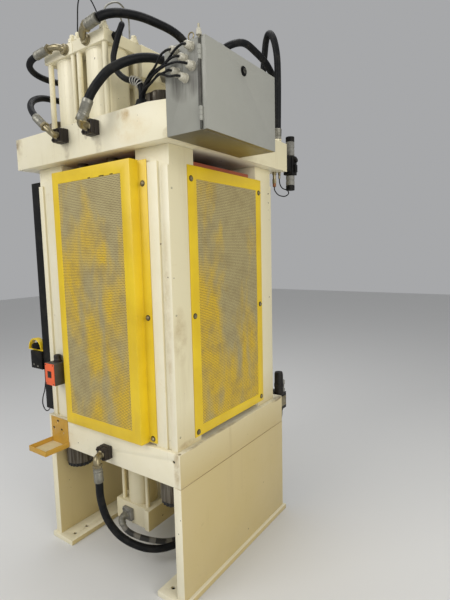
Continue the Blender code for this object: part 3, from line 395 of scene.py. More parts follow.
CREAM = cream_paint("paint_cream", marks=(
    ((0.4985, -0.527, 2.128), (0.03, 0.03, 0.036), (96, 66, 38), 1.0),
    ((0.4985, -0.5, 2.1), (0.03, 0.03, 0.06), (170, 150, 112), 0.7),
    ((0.4985, 0.262, 2.118), (0.03, 0.045, 0.032), (180, 148, 90), 1.0),
    ((0.4985, 0.3, 2.06), (0.03, 0.13, 0.06), (220, 202, 160), 0.7),
    ((0.4985, -0.12, 2.03), (0.03, 0.024, 0.05), (168, 156, 132), 0.9),
    ((0.4985, 0.1, 2.03), (0.03, 0.026, 0.05), (168, 156, 132), 0.9),
    ((0.4985, 0.02, 2.1), (0.03, 0.016, 0.04), (120, 106, 84), 0.9),
    ((0.4595, -0.3, 0.7), (0.03, 0.18, 0.012), (170, 148, 104), 0.9),
    ((0.4595, 0.45, 0.64), (0.03, 0.02, 0.12), (178, 158, 116), 0.8),
    ((-0.4, 0.468, 0.7), (0.07, 0.03, 0.012), (90, 70, 44), 1.0),
    ((0.36, 0.468, 0.703), (0.05, 0.03, 0.004), (130, 108, 74), 0.8),
    ((0.45, 0.46, 0.7048), (0.01, 0.008, 0.0015), (84, 70, 48), 0.9),
    ((0.2, 0.468, 0.7045), (0.3, 0.03, 0.0025), (140, 120, 82), 0.6),
    ((0.3, 0.4985, 2.01), (0.6, 0.03, 0.03), (168, 150, 110), 0.6)),
    # Painted shade on the crown's underside above the slide, and a thin darker band along the seam under the
    # bed on the +Y side
    painted_shade_and_seam=(((0.02, 0.0, 1.9956), (0.46, 0.5, 0.03), (72, 58, 36), 0.92),
            ((0.0, 0.468, 0.5497), (0.75, 0.03, 0.003), (156, 130, 78), 0.8)))
CREAM_CLEAN = cream_paint("paint_cream_frame", grime=0.24, marks=(
    ((0.4, 0.445, 1.2), (0.05, 0.02, 0.14), (190, 172, 130), 0.7),
    ((0.38, 0.445, 0.722), (0.06, 0.02, 0.018), (158, 132, 92), 0.7),
    ((0.4445, 0.41, 1.3), (0.02, 0.03, 0.5), (196, 180, 142), 0.6)))
# The cylinders' cream, with painted shade darkening the barrels and caps in between the rows of cylinders
CREAM_HIGH = cream_paint("paint_cream_cylinders", grime=0.45, base=(232, 224, 196), painted_shade_and_seam=(
    ((0.025, -0.05, 2.31), (0.345, 0.6, 0.6), (112, 98, 68), 0.75),))
# A darker cream for the ejector under the bed: its darker base is painted shade from the bed above, besides
# heavier grime.
CREAM_LOW_SHADED = cream_paint("paint_cream_ejector_shaded", grime=0.5, base=(222, 213, 184))
YELLOW = yellow_paint("paint_yellow")
PERF_SIDE = perforated("perforated_side", "Y")
PERF_REAR = perforated("perforated_rear", "X")
RED = slide_paint("paint_red_oxide")
BLACK = plain("paint_black", (20, 20, 20), 0.5, dust=(84, 80, 70), amount=0.3, spec=0.13)
STEP_GREY = plain("coil_grey", (134, 132, 124), 0.5, dust=(44, 42, 40), amount=0.85)
SWITCH_GREY = plain("switch_grey", (66, 64, 58), 0.5, dust=(110, 102, 84), amount=0.4)
TRAY_PAINT = plain("paint_tray", (194, 150, 54), 0.45, dust=(150, 116, 52), amount=0.5)
# Pale sheet on the tray's floor: painted light on the lit tray bottom, with dust.
PAN_PAINTED_LIGHT = plain("tray_floor_painted_light", (214, 200, 158), 0.5, dust=(160, 140, 96), amount=0.4)
NYLON = plain("gland_nylon", (186, 182, 166), 0.38, dust=(96, 90, 74), amount=0.6)
SPIRAL = plain("spiral_wrap", (196, 194, 184), 0.4, dust=(84, 82, 74), amount=0.6)
PLASTIC = plain("plastic_black", (13, 13, 13), 0.45, amount=0.12, spec=0.13)
ORANGE = plain("plastic_orange", (234, 100, 52), 0.5, dust=(150, 70, 44))
GREY = enclosure_paint("paint_grey")
ROD_STEEL = strain_steel("rod_steel")
PIN_STEEL = pin_steel("pin_steel")
CHROME = steel("rod_chrome", (205, 205, 205), 0.18, grime=0.12)
PLATED = steel("plated_steel", (150, 140, 112), 0.36, grime=0.6, dirt=(74, 62, 40))
SILVER = steel("crimp_steel", (146, 144, 134), 0.48, grime=0.5, dirt=(84, 80, 68))
BLOCK = plain("block_steel", (40, 34, 30), 0.45, dust=(84, 72, 58), amount=0.4, spec=0.3)
BLOCK_DARK = plain("block_dark", (24, 21, 19), 0.5, dust=(76, 66, 52), amount=0.45, spec=0.3)
RUBBER = hose_rubber("hose_rubber", (18, 19, 21))
SLEEVE = banded_sleeve("hose_sleeve")
# Near-black for the insides of holes and slots: painted shade.
HOLE_SHADE = plain("painted_hole_shade", (18, 16, 14), 0.8, amount=0.0)
COPPER = steel("copper_fitting", (150, 100, 70), 0.4)


# Geometry helpers
def link(name, mesh, paint, body="frame"):
    obj = enter(bpy.data.objects.new(name, mesh))
    mesh.materials.append(paint.mat)
    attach(obj, body)
    return obj


def shade(mesh, angle):
    mesh.shade_smooth()
    mesh.set_sharp_from_angle(angle=math.radians(angle))


def piece(name, bm, paint, body="frame", angle=32):
    mesh = bpy.data.meshes.new(name)
    bmesh.ops.recalc_face_normals(bm, faces=bm.faces)
    bm.to_mesh(mesh)
    bm.free()
    shade(mesh, angle)
    return link(name, mesh, paint, body)


def soften(node, width, paint):
    """The CAD node's own form with its edges rounded, in place of the node."""
    source = NODES[node]
    bm = bmesh.new()
    bm.from_mesh(source.data)
    bmesh.ops.remove_doubles(bm, verts=bm.verts, dist=2e-6)
    bmesh.ops.dissolve_limit(bm, angle_limit=math.radians(1.0), verts=bm.verts, edges=bm.edges)
    sharp = [e for e in bm.edges if len(e.link_faces) == 2 and e.calc_face_angle(0.0) > math.radians(40)]
    bmesh.ops.bevel(bm, geom=sharp, offset=width, segments=2, profile=0.5, affect="EDGES",
                    clamp_overlap=True)
    mesh = bpy.data.meshes.new(node + "_dressed")
    bm.to_mesh(mesh)
    bm.free()
    mesh.materials.clear()
    shade(mesh, 30)
    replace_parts(link(mesh.name, mesh, paint, source["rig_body"]), node)


def repaint(node, paint):
    mesh = NODES[node].data
    mesh.materials.clear()
    mesh.materials.append(paint.mat)


def basis(direction):
    direction = Vector(direction).normalized()
    side = Vector((0, 0, 1)) if abs(direction.z) < 0.9 else Vector((1, 0, 0))
    right = side.cross(direction).normalized()
    return right, direction.cross(right).normalized(), direction


def lathe(bm, base, direction, profile, sides=20, turn=0.0):
    """Rings of (height, radius) along a direction from base, closed at both ends."""
    right, up, ahead = basis(direction)
    rings = []
    for height, radius in profile:
        centre = Vector(base) + ahead * height
        rings.append([bm.verts.new(centre + radius * (right * math.cos(turn + 2 * math.pi * k / sides)
                                                      + up * math.sin(turn + 2 * math.pi * k / sides)))
                      for k in range(sides)])
    for a, b in zip(rings, rings[1:]):
        for k in range(sides):
            bm.faces.new((a[k], a[(k + 1) % sides], b[(k + 1) % sides], b[k]))
    bm.faces.new(rings[0][::-1])
    bm.faces.new(rings[-1])


def slab(bm, low, high, bevel=0.0, segments=2):
    low, high = Vector(low), Vector(high)
    size = high - low
    made = bmesh.ops.create_cube(bm, size=1.0, matrix=Matrix.Translation((low + high) / 2)
                                 @ Matrix.Diagonal((*size, 1.0)))
    if bevel:
        edges = list({e for v in made["verts"] for e in v.link_edges})
        bmesh.ops.bevel(bm, geom=edges, offset=bevel, segments=segments, profile=0.5, affect="EDGES",
                        clamp_overlap=True)


def dome_bolt(bm, base, direction, radius, height):
    """A socket head with a rounded crown; its last rings go down into the socket."""
    crown = [(height * h, radius * r)
             for h, r in ((0.5, 0.93), (0.85, 0.7), (1, 0.35), (0.7, 0.3), (0.6, 0.1))]
    lathe(bm, base, direction, [(0, radius * 1.2), (0.001, radius * 1.2), (0.0012, radius)] + crown, 16)


def smooth_route(points, spacing):
    """Points along a Catmull-Rom curve through the route, about one spacing apart."""
    pts = [Vector(p) for p in points]
    pts = [2 * pts[0] - pts[1]] + pts + [2 * pts[-1] - pts[-2]]
    fine = []
    for i in range(1, len(pts) - 2):
        a, b, c, d = pts[i - 1:i + 3]
        for k in range(12):
            t = k / 12
            fine.append(0.5 * ((2 * b) + (c - a) * t + (2 * a - 5 * b + 4 * c - d) * t ** 2
                               + (3 * b - a - 3 * c + d) * t ** 3))
    fine.append(pts[-2])
    total = length_of(fine)
    count = max(4, round(total / spacing))
    route, walked, goal = [fine[0]], 0.0, total / count
    for p, q in zip(fine, fine[1:]):
        step = (q - p).length
        while walked + step >= goal and len(route) < count:
            route.append(p.lerp(q, (goal - walked) / step))
            goal += total / count
        walked += step
    return route + [fine[-1]]


def tube_rings(bm, route, radii, sides, uv=True, first=None, last=None):
    """A closed tube through the route; the rings turn as little as they can from one to the next."""
    layer = bm.loops.layers.uv.verify() if uv else None
    count = len(route)
    heads = []
    for i in range(count):
        ahead = route[min(i + 1, count - 1)] - route[max(i - 1, 0)]
        heads.append(ahead.normalized())
    if first is not None:
        heads[0] = Vector(first).normalized()
    if last is not None:
        heads[-1] = Vector(last).normalized()
    right = basis(heads[0])[0]
    rings, walked, marks = [], 0.0, []
    for i, centre in enumerate(route):
        if i:
            walked += (centre - route[i - 1]).length
        marks.append(walked)
        right = (right - heads[i] * right.dot(heads[i])).normalized()
        up = heads[i].cross(right)
        rings.append([bm.verts.new(centre + radii[i] * (right * math.cos(2 * math.pi * k / sides)
                                                        + up * math.sin(2 * math.pi * k / sides)))
                      for k in range(sides)])
    for i, (a, b) in enumerate(zip(rings, rings[1:])):
        for k in range(sides):
            face = bm.faces.new((a[k], a[(k + 1) % sides], b[(k + 1) % sides], b[k]))
            if layer:
                low, high = marks[i], marks[i + 1]
                for loop, (u, v) in zip(face.loops, ((low, k), (low, k + 1), (high, k + 1), (high, k))):
                    loop[layer].uv = (u, v / sides)
    bm.faces.new(rings[0][::-1])
    bm.faces.new(rings[-1])


def length_of(route):
    return sum((q - p).length for p, q in zip(route, route[1:]))


def metres(points):
    return [tuple(v / 1000 for v in p) for p in points]


def placed_route(points, spacing):
    return [p + SHIFT for p in smooth_route(points, spacing)]


def thin_cord(name, route, diameter, paint, sides, first=None, last=None):
    """A round cord along its route, its ends run in the first and last directions where given."""
    bm = bmesh.new()
    tube_rings(bm, route, [diameter / 2] * len(route), sides, first=first, last=last)
    cord = piece(name, bm, paint, angle=60)


# Hoses, on the CAD part's routes: diameter, first and last direction, and points. Only the points are in
# millimetres.
HOSE_BIG = 0.036
HOSE_MID = 0.03
HOSE_EJECT = 0.028
BUNDLE_D = 0.024
HOSES = {
    "hose_cap_b": (HOSE_BIG, None, (0, -1, 0), [
        (529, 172, 2510), (508, 192, 2524), (470, 208, 2540), (419, 222, 2553), (353, 244, 2559),
        (287, 268, 2553), (212, 285, 2546), (150, 295, 2528), (90, 298, 2490), (45, 272, 2442),
        (22, 220, 2412), (20, 175.3, 2410)]),
    "hose_crown_b": (HOSE_BIG, None, (0, -1, 0), [
        (593, 168, 2178), (584, 180, 2206), (570, 208, 2243), (550, 255, 2284), (490, 310, 2325),
        (420, 342, 2348), (340, 354, 2358), (270, 352, 2358), (210, 330, 2362), (168, 288, 2372),
        (151, 235, 2384), (150, 175.3, 2385)]),
    "hose_crown_a": (HOSE_MID, None, TO_Y, [
        (585, -210, 2180), (567, -268, 2224), (540, -316, 2266), (500, -349, 2304), (450, -360, 2328),
        (395, -360, 2336), (330, -357, 2340), (260, -358, 2350), (195, -354, 2370), (148, -332, 2390),
        (131, -300, 2399), (130, -275.3, 2400)]),
    "hose_cap_a": (HOSE_MID, None, TO_Y, [
        (528, -265, 2474), (524, -315, 2467), (507, -355, 2457), (470, -381, 2446), (420, -388, 2438),
        (360, -384, 2436), (280, -376, 2442), (200, -368, 2450), (110, -358, 2456), (55, -338, 2456),
        (32, -305, 2452), (30, -275.3, 2450)]),
    "hose_rear_low": (HOSE_BIG, (-1, 0, 0), TO_X, [
        (-35.3, 50, 2420), (-85, 58, 2421.6), (-112, 85, 2428), (-120, 140, 2450), (-120, 225, 2502),
        (-122, 305, 2550), (-142, 358, 2584), (-242, 380, 2625), (-338, 395, 2608), (-448, 405, 2569),
        (-545, 400, 2495), (-590, 370, 2390), (-600, 330, 2280), (-597, 306, 2188), (-580, 300, 2122),
        (-548, 300, 2087), (-502.8, 300, 2080)]),
    "hose_rear_tall": (HOSE_BIG, UP, TO_X, [
        (-435, 468, 2165.9), (-436, 470, 2236), (-438, 471, 2352), (-442, 470, 2484), (-448, 463, 2606),
        (-456, 440, 2701), (-470, 405, 2747), (-492, 372, 2726), (-512, 348, 2651), (-530, 322, 2561),
        (-545, 262, 2502), (-545, 185, 2478), (-525, 105, 2471), (-490, 62, 2470), (-455.3, 55, 2470)]),
    "hose_bed": (HOSE_BIG, None, UP, [
        (543, 34, 500), (532, 26, 400), (500, 28, 284), (450, 61, 181), (380, 122, 110), (310, 185, 84),
        (230, 238, 90), (140, 270, 110), (40, 285, 135), (-80, 288, 155), (-220, 292, 175),
        (-350, 310, 215), (-450, 340, 300), (-510, 375, 410), (-528, 400, 500), (-530, 410, 579.7)]),
    "hose_ejector": (HOSE_EJECT, TO_X, UP, [
        (335.3, -37, 200), (362, -34, 190), (362, -12, 150), (335, 22, 112), (290, 80, 82), (235, 140, 62),
        (160, 178, 50), (60, 198, 50), (-60, 205, 60), (-200, 212, 85), (-350, 240, 150), (-460, 280, 270),
        (-518, 320, 400), (-530, 345, 500), (-530, 350, 579.7)]),
    "cable_bundle": (BUNDLE_D, TO_Y, DOWN, [
        (430, 160.6, 2475), (436, 192, 2482), (452, 228, 2493), (466, 241, 2481), (469, 227, 2455),
        (469, 206, 2415), (472, 192, 2370), (473, 201, 2326), (472, 232, 2289), (471, 270, 2264),
        (470, 308, 2252), (469, 334, 2236), (469, 343, 2205), (469, 342, 2166.3)]),
}


def hose_route(name):
    """The hose's points, each end run straight out of what it joins, as in the part's source."""
    diameter, start, end, points = HOSES[name]
    route = smooth_route(metres(points), 0.012)
    straight = 0.5 * diameter
    if start:
        route = [route[0], route[0] + Vector(start) * straight] \
            + [p for p in route[1:] if (p - route[0]).length > 1.4 * straight]
    route = [p for p in route[:-1] if (route[-1] - p).length > 1.4 * straight] \
        + [route[-1] - Vector(end) * straight, route[-1]]
    return [p + SHIFT for p in route]


CRIMP_LENGTH = 0.055
CRIMP_MORE = 0.0042


def crimp(name, route, diameter):
    """A ridged steel sleeve pressed on a hose, over the first stretch of its route, behind a nut."""
    ends, walked = [route[0]], 0.0
    for p, q in zip(route, route[1:]):
        step = (q - p).length
        if walked + step >= CRIMP_LENGTH:
            ends.append(p.lerp(q, (CRIMP_LENGTH - walked) / step))
            break
        ends.append(q)
        walked += step
    fine = smooth_route(ends, 0.0018)
    count = len(fine)
    outer = diameter / 2 + CRIMP_MORE
    radii = []
    for i in range(count):
        ridge = 0.0012 if 0.25 < i / count < 0.85 and i % 3 == 0 else 0.0
        radii.append(outer - ridge - (0.0016 if i in (0, count - 1) else 0.0))
    bm = bmesh.new()
    tube_rings(bm, fine, radii, 20, uv=False)
    lathe(bm, fine[0], fine[1] - fine[0], [
        (-0.0005, outer + 0.0028), (0.01, outer + 0.0028), (0.0115, outer + 0.0012)], 6)
    return piece(name, bm, SILVER, angle=30)


# The ends that have a crimp here; a fitting further below brings its own
CRIMPED = {"hose_rear_low": (0, 1), "hose_rear_tall": (0, 1), "hose_ejector": (0, 1), "cable_bundle": ()}


def make_hose(name):
    diameter, start, end = HOSES[name][:3]
    route = hose_route(name)
    bm = bmesh.new()
    tube_rings(bm, route, [diameter / 2] * len(route), 20, first=start, last=end)
    paint = SLEEVE if name == "hose_ejector" else RUBBER
    hose = piece(name + "_line", bm, paint, angle=60)
    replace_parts(hose, name)
    sleeves = [crimp("%s_crimp_%d" % (name, side), route[::-1] if side else route, diameter)
               for side in CRIMPED.get(name, (1,))]


for hose_name in HOSES:
    make_hose(hose_name)


# Fittings: a flanged block or a stub, a bent tube with its nut, and the crimp on the hose.
# Each has its hose, and the block's place and the points in millimetres.
FITTINGS = {
    "crown_fitting_a": ("hose_crown_a", (498.8, -130, 2098), [
        (540, -125, 2095), (580, -100, 2090), (597, -128, 2122), (585, -210, 2180)]),
    "crown_fitting_b": ("hose_crown_b", (498.8, 84, 2098), [
        (540, 90, 2098), (582, 104, 2094), (604, 130, 2108), (603, 150, 2130), (593, 168, 2178)]),
    "cap_fitting_a": ("hose_cap_a", None, [
        (490.3, -98, 2470), (512, -104, 2474), (524, -135, 2480), (526, -195, 2480), (528, -265, 2474)]),
    "cap_fitting_b": ("hose_cap_b", None, [
        (490.3, 50, 2472), (512, 54, 2480), (525, 74, 2494), (528, 112, 2503), (529, 172, 2510)]),
    "bed_fitting": ("hose_bed", (459.8, 8, 614), [
        (500, 10, 615), (537, 22, 611), (547, 32, 590), (546, 34, 560), (543, 34, 500)]),
}
BLOCK_W = 0.06
BLOCK_DEEP = 0.046


def port_block(name, place):
    """A two-piece flange block with four cap screws and a seam between its halves."""
    half = BLOCK_W / 2
    base = at(*place)
    bm = bmesh.new()
    slab(bm, base + Vector((0, -half, -half)), base + Vector((0.026, half, half)), 0.002)
    for side in (-1, 1):
        slab(bm, base + Vector((0.0262, min(side * 0.001, side * half), -half + 0.001)),
             base + Vector((BLOCK_DEEP, max(side * 0.001, side * half), half - 0.001)), 0.003)
    for sy, sz in FOUR:
        spot = base + Vector((BLOCK_DEEP - 0.0005, sy * 0.02, sz * 0.02))
        lathe(bm, spot, TO_X, [
            (0, 0.0066), (0.006, 0.0066), (0.0068, 0.0056), (0.0066, 0.0034), (0.003, 0.0032)], 18)
    piece(name, bm, BLOCK, angle=30)


def make_fitting(node, hose, block, points):
    diameter = HOSES[hose][0]
    route = placed_route(metres(points), 0.003)
    turn = round(0.5 * len(route))
    tube = diameter / 2 - 0.002
    bm = bmesh.new()
    tube_rings(bm, route[:turn + 2], [tube + (0.004 if 1 < i < 5 else 0.0) for i in range(turn + 2)], 20,
               uv=False, first=TO_X)
    ahead = (route[turn + 2] - route[turn - 1]).normalized()
    lathe(bm, route[turn - 3], ahead, [
        (0, diameter / 2 + 0.004), (0.0015, diameter / 2 + 0.006), (0.0125, diameter / 2 + 0.006),
        (0.014, diameter / 2 + 0.004)], 6)
    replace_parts(piece(node + "_bend", bm, PLATED), node)
    sleeve = route[turn:]
    outer = diameter / 2 + CRIMP_MORE
    radii = []
    for i in range(len(sleeve)):
        where = i / len(sleeve)
        groove = 0.0014 if 0.3 < where < 0.8 and i % 2 else 0.0
        radii.append(outer - groove - (0.0018 if i == len(sleeve) - 1 else 0.0)
                     - (0.0022 if where < 0.22 else 0.0))
    bm = bmesh.new()
    tube_rings(bm, sleeve, radii, 22, uv=False)
    piece(node + "_crimp", bm, SILVER, angle=30)
    if block:
        port_block(node + "_block", *metres([block]))
    else:
        bm = bmesh.new()
        lathe(bm, route[0], TO_X, [(0, 0.024), (0.006, 0.024), (0.008, 0.021)], 20)
        lathe(bm, route[0], TO_X, [(0.008, 0.0225), (0.017, 0.0225), (0.0185, 0.02)], 6)
        piece(node + "_seat", bm, PLATED)


for fitting_name, fitting in FITTINGS.items():
    make_fitting(fitting_name, *fitting)


# Nodes whose own form gets rounded edges: width, paint, slot and names, with * for the four corners
CORNERS = ("near_right", "near_left", "far_right", "far_left")
SOFTENED = (
    (0.003, CREAM, "cream", "bed crown"),
    (0.002, CREAM, "cream", "leg_left leg_right"),
    (0.0015, CREAM_CLEAN, "cream", "foot_bar_left foot_bar_right column_*"),
    (0.002, CREAM_CLEAN, "cream", "manifold"),
    (0.002, CREAM_LOW_SHADED, "cream", "ejector_barrel ejector_cap"),
    (0.0015, CREAM_HIGH, "cream", "cylinder_cap_*"),
    (0.0022, YELLOW, "yellow", "side_guard_near side_guard_far"),
    (0.0008, YELLOW, "yellow", "rear_guard"),
    (0.0008, TRAY_PAINT, "yellow", "tray"),
    (0.0012, YELLOW, "yellow", "palm_guard"),
    (0.002, RED, "red_brown", "slide"),
    (0.0015, GREY, "grey", "enclosure_body enclosure_door"),
    (0.002, BLACK, "black", "light_bar_near light_bar_far"),
    (0.0015, PLASTIC, "black_plastic", "palm_box"),
    (0.002, PLASTIC, "black_plastic", "palm_button"),
    (0.0015, SWITCH_GREY, "black_plastic", "switch_box"),
    (0.0015, BLACK, "black", "valve"),
    (0.002, BLOCK_DARK, "fitting", "rear_fitting"),
)
REPAINTED = (
    (CREAM_HIGH, "cylinder_barrel_*"), (ROD_STEEL, "strain_rod_*"), (PERF_REAR, "rear_guard_mesh"),
    (PERF_SIDE, "side_guard_mesh_near side_guard_mesh_far"), (PIN_STEEL, "hinge_pin"),
    (PLASTIC, "door_lock"), (CHROME, "ejector_rod"),
)


def spelled(names):
    return [name.replace("*", tag) for name in names.split() for tag in (CORNERS if "*" in name else ("",))]


for width, paint, slot, names in SOFTENED:
    for node in spelled(names):
        soften(node, width, paint)
for paint, names in REPAINTED:
    for node in spelled(names):
        repaint(node, paint)


# Fasteners on the guards, slots along the near window and tapped holes in the columns
FLANGE_X = 0.4478
MIDDLE_X = 0.025
REAR_Y = 0.4483
GUARD_BOLT_Z = (1.85, 1.282, 0.738)
WASHER = ((0.0002, 0.0128), (0.0016, 0.0128), (0.0021, 0.0118))


def make_bolts():
    washers = bmesh.new()
    for tag, side in (("near", 1), ("far", -1)):
        bm = bmesh.new()
        x = MIDDLE_X + side * (FLANGE_X - MIDDLE_X)
        for z in GUARD_BOLT_Z:
            for y in (-0.29, 0.305):
                lathe(washers, at(x, y, z), (side, 0, 0), WASHER, 24)
                dome_bolt(bm, at(x + side * 0.0018, y, z), (side, 0, 0), 0.0088, 0.0075)
        piece("side_guard_bolts_" + tag, bm, PLATED)
    bm = bmesh.new()
    for x, heights in ((0.303, (1.872, 1.28, 0.75)), (-0.256, (1.862, 1.272, 0.756))):
        for z in heights:
            lathe(washers, at(x, REAR_Y, z), TO_Y, WASHER, 24)
            dome_bolt(bm, at(x, REAR_Y + 0.0018, z), TO_Y, 0.0085, 0.007)
    piece("rear_guard_bolts", bm, PLATED)
    piece("guard_washers", washers, BLOCK)
    bm = bmesh.new()
    # The tapped holes, window slots and hole bottoms below are near-black patches of painted shade.
    for x, z in ((0.4245, 1.82), (0.4225, 1.297), (0.4245, 0.767), (-0.3655, 1.818), (-0.3655, 1.3)):
        lathe(bm, at(x, 0.445, z), TO_Y, [
            (-0.001, 0.0042), (0.0004, 0.0042), (0.0002, 0.003), (-0.0004, 0.0026)], 16)
    piece("column_holes", bm, HOLE_SHADE)
    bm = bmesh.new()
    for y, length in ((0.02, 0.018), (0.104, 0.034), (0.168, 0.02)):
        slab(bm, at(0.4936, y - length / 2, 1.897), at(0.4954, y + length / 2, 1.9008), 0.0006, 1)
    piece("window_slots", bm, HOLE_SHADE)
    bm = bmesh.new()
    lathe(bm, at(0.452, 0.433, 0.667), TO_X, [(0, 0.0068), (0.003, 0.0068)], 16)
    for x in (0.338, 0.417, -0.338, -0.417):
        for y in (-0.363, 0.363):
            lathe(bm, at(x, y, 0.014), UP, [(0, 0.0097), (0.003, 0.0097)], 16)
    piece("hole_bottoms", bm, HOLE_SHADE)


make_bolts()


# Cable glands, their cables and the wrap round the trunk
GLAND_TIP = 0.0285
GLAND_CABLE_D = 0.0086
GLANDS = ((0.041, 0.025), (0.111, 0.025), (0.072, 0.059), (0.037, 0.092), (0.11, 0.098), (0.071, 0.126))
FAN_Z = (2.266, 2.256, 2.246, 2.234, 2.206, 2.19)


def make_glands():
    """Each gland is (inward from the box's front, down from its top); its cable runs down to the trunk."""
    for index, (inward, down) in enumerate(GLANDS):
        y, z = BOX_FRONT - inward, BOX_TOP - down
        base = at(BOX_SIDE, y, z)
        bm = bmesh.new()
        lathe(bm, base, TO_X, [(0, 0.0175), (0.0015, 0.0175), (0.002, 0.016)], 24)
        lathe(bm, base, TO_X, [(0.002, 0.0165), (0.008, 0.0165), (0.009, 0.0152)], 6, 0.3 * index)
        lathe(bm, base, TO_X, [(0.009, 0.0124), (0.0128, 0.0124)], 24)
        ribs = [(0.0128 + 0.0014 * k, 0.0142 if k % 2 else 0.0132) for k in range(8)]
        lathe(bm, base, TO_X, ribs + [(0.0258, 0.0132), (0.0302, 0.011), (0.0312, 0.008), (0.03, 0.0058)], 24)
        piece("gland_nut_%d" % index, bm, NYLON)
        spread, side = (2.5 - index) / 2.5, (index % 2 - 0.5) * 2
        drop = 0.6 * (z - FAN_Z[index])
        points = [(BOX_SIDE + GLAND_TIP, y, z), (BOX_SIDE + 0.04, y - 0.01, z - 0.25 * drop),
                  (0.5415 + 0.004 * side, y - 0.034 - 0.1 * (y - 0.55), z - drop),
                  (0.525 + 0.006 * side, 0.5 * (y - 0.045) + 0.225, 0.5 * FAN_Z[index] + 0.5 * 2.234),
                  (0.503 + 0.006 * side, 0.43, 2.228 + (0.015 if spread > 0 else 0.026) * spread),
                  (0.486 + 0.006 * side, 0.384, 2.209 + 0.009 * spread),
                  (0.473 + 0.006 * side, 0.35 + 0.006 * spread, 2.18),
                  (0.469 + 0.006 * side, 0.342 + 0.009 * spread, 2.158)]
        thin_cord("gland_cable_%d" % index, placed_route(points, 0.006), GLAND_CABLE_D, RUBBER, 10,
                  first=TO_X)


make_glands()


def make_trunk_ends():
    """A rubber boot where the trunk goes down into the crown, and a gland where it leaves the cap."""
    bm = bmesh.new()
    lathe(bm, at(0.469, 0.342, 2.1458), UP, [
        (0, 0.03), (0.004, 0.03), (0.006, 0.026), (0.012, 0.024), (0.02, 0.0225), (0.024, 0.021),
        (0.023, 0.017)], 28)
    piece("trunk_boot", bm, RUBBER)
    bm = bmesh.new()
    base = at(0.43, 0.1603, 2.475)
    lathe(bm, base, TO_Y, [(0, 0.02), (0.006, 0.02), (0.007, 0.0185)], 6)
    lathe(bm, base, TO_Y, [(0.007, 0.0165), (0.014, 0.0165), (0.016, 0.014)], 24)
    piece("bundle_gland", bm, RUBBER)


make_trunk_ends()


def coil_wrap(name, route, radius, turns, wire, paint):
    """A round strip wound round part of a route."""
    per_turn = 14
    steps = turns * per_turn
    total = length_of(route)
    marks, walked = [0.0], 0.0
    for p, q in zip(route, route[1:]):
        walked += (q - p).length
        marks.append(walked)
    path = []
    for k in range(steps + 1):
        goal = total * k / steps
        i = max(j for j, mark in enumerate(marks[:-1]) if mark <= goal + 1e-9)
        ahead = (route[i + 1] - route[i]).normalized()
        centre = route[i] + ahead * (goal - marks[i])
        right, up, _ = basis(ahead)
        turn = 2 * math.pi * k / per_turn
        path.append(centre + radius * (right * math.cos(turn) + up * math.sin(turn)))
    bm = bmesh.new()
    tube_rings(bm, path, [wire] * len(path), 8, uv=False)
    piece(name, bm, paint, angle=60)


TRUNK_WRAP = [(0.471, 0.29, 2.257), (0.47, 0.315, 2.249), (0.4695, 0.333, 2.236), (0.469, 0.341, 2.218)]
coil_wrap("trunk_wrap", placed_route(TRUNK_WRAP, 0.004), 0.0165, 5, 0.0017, SPIRAL)


# Enclosure: hinge knuckles and cap, lifting eye, clips, lock ring and slot
HINGE_X = 0.504
EYE = (0.47, 0.605)
LOCK_X, LOCK_Z = 0.253, 2.2621


def make_enclosure_trim():
    bm = bmesh.new()
    for z in (2.0266, 2.2311):
        for k in range(3):
            low = z + 0.0018 + k * 0.0158
            lathe(bm, at(HINGE_X, BOX_FRONT, low), UP, [
                (0, 0.0058), (0.0006, 0.0063), (0.0142, 0.0063), (0.0148, 0.0058)], 18)
    piece("hinge_knuckles", bm, GREY, "door")
    bm = bmesh.new()
    lathe(bm, at(HINGE_X, BOX_FRONT, BOX_TOP + 0.0006), UP, [
        (0, 0.0105), (0.01, 0.0105), (0.0115, 0.009), (0.02, 0.0085), (0.0215, 0.007)], 18)
    piece("hinge_cap", bm, NYLON)
    bm = bmesh.new()
    lathe(bm, at(*EYE, BOX_TOP), UP, [(0, 0.013), (0.003, 0.013), (0.004, 0.01)], 24)
    lathe(bm, at(*EYE, BOX_TOP + 0.004), UP, [(0, 0.0105), (0.006, 0.0105), (0.007, 0.009)], 6)
    turns = [2 * math.pi * k / 28 for k in range(29)]
    ring = [at(*EYE, BOX_TOP + 0.026) + Vector((0, 0.0125 * math.sin(turn), -0.0125 * math.cos(turn)))
            for turn in turns]
    tube_rings(bm, ring, [0.0028] * len(ring), 10, uv=False)
    lathe(bm, at(*EYE, BOX_TOP + 0.009), UP, [(0, 0.004), (0.006, 0.004)], 12)
    piece("enclosure_eye", bm, PLATED)
    bm = bmesh.new()
    for x in (0.395, 0.105):
        slab(bm, at(x - 0.016, BOX_FRONT, BOX_TOP - 0.002), at(x + 0.016, 0.6895, BOX_TOP + 0.0026), 0.0012)
        slab(bm, at(x - 0.011, 0.645, BOX_TOP - 0.001), at(x + 0.011, 0.6665, BOX_TOP + 0.005), 0.0012)
    piece("enclosure_clips", bm, GREY)
    bm = bmesh.new()
    lathe(bm, at(LOCK_X, 0.6903, LOCK_Z), TO_Y, [
        (0, 0.019), (0.0022, 0.0187), (0.003, 0.0178), (0.0016, 0.0172)], 32)
    piece("lock_escutcheon", bm, PLASTIC, "door")
    bm = bmesh.new()
    lathe(bm, at(LOCK_X, 0.6958, LOCK_Z), TO_Y, [
        (0, 0.009), (0.0012, 0.009), (0.0014, 0.0078), (-0.001, 0.0074)], 24)
    slab(bm, at(0.2522, 0.6955, 2.256), at(0.2538, 0.6972, 2.2682), 0.0003, 1)
    piece("lock_slot", bm, SILVER, "lock")


make_enclosure_trim()


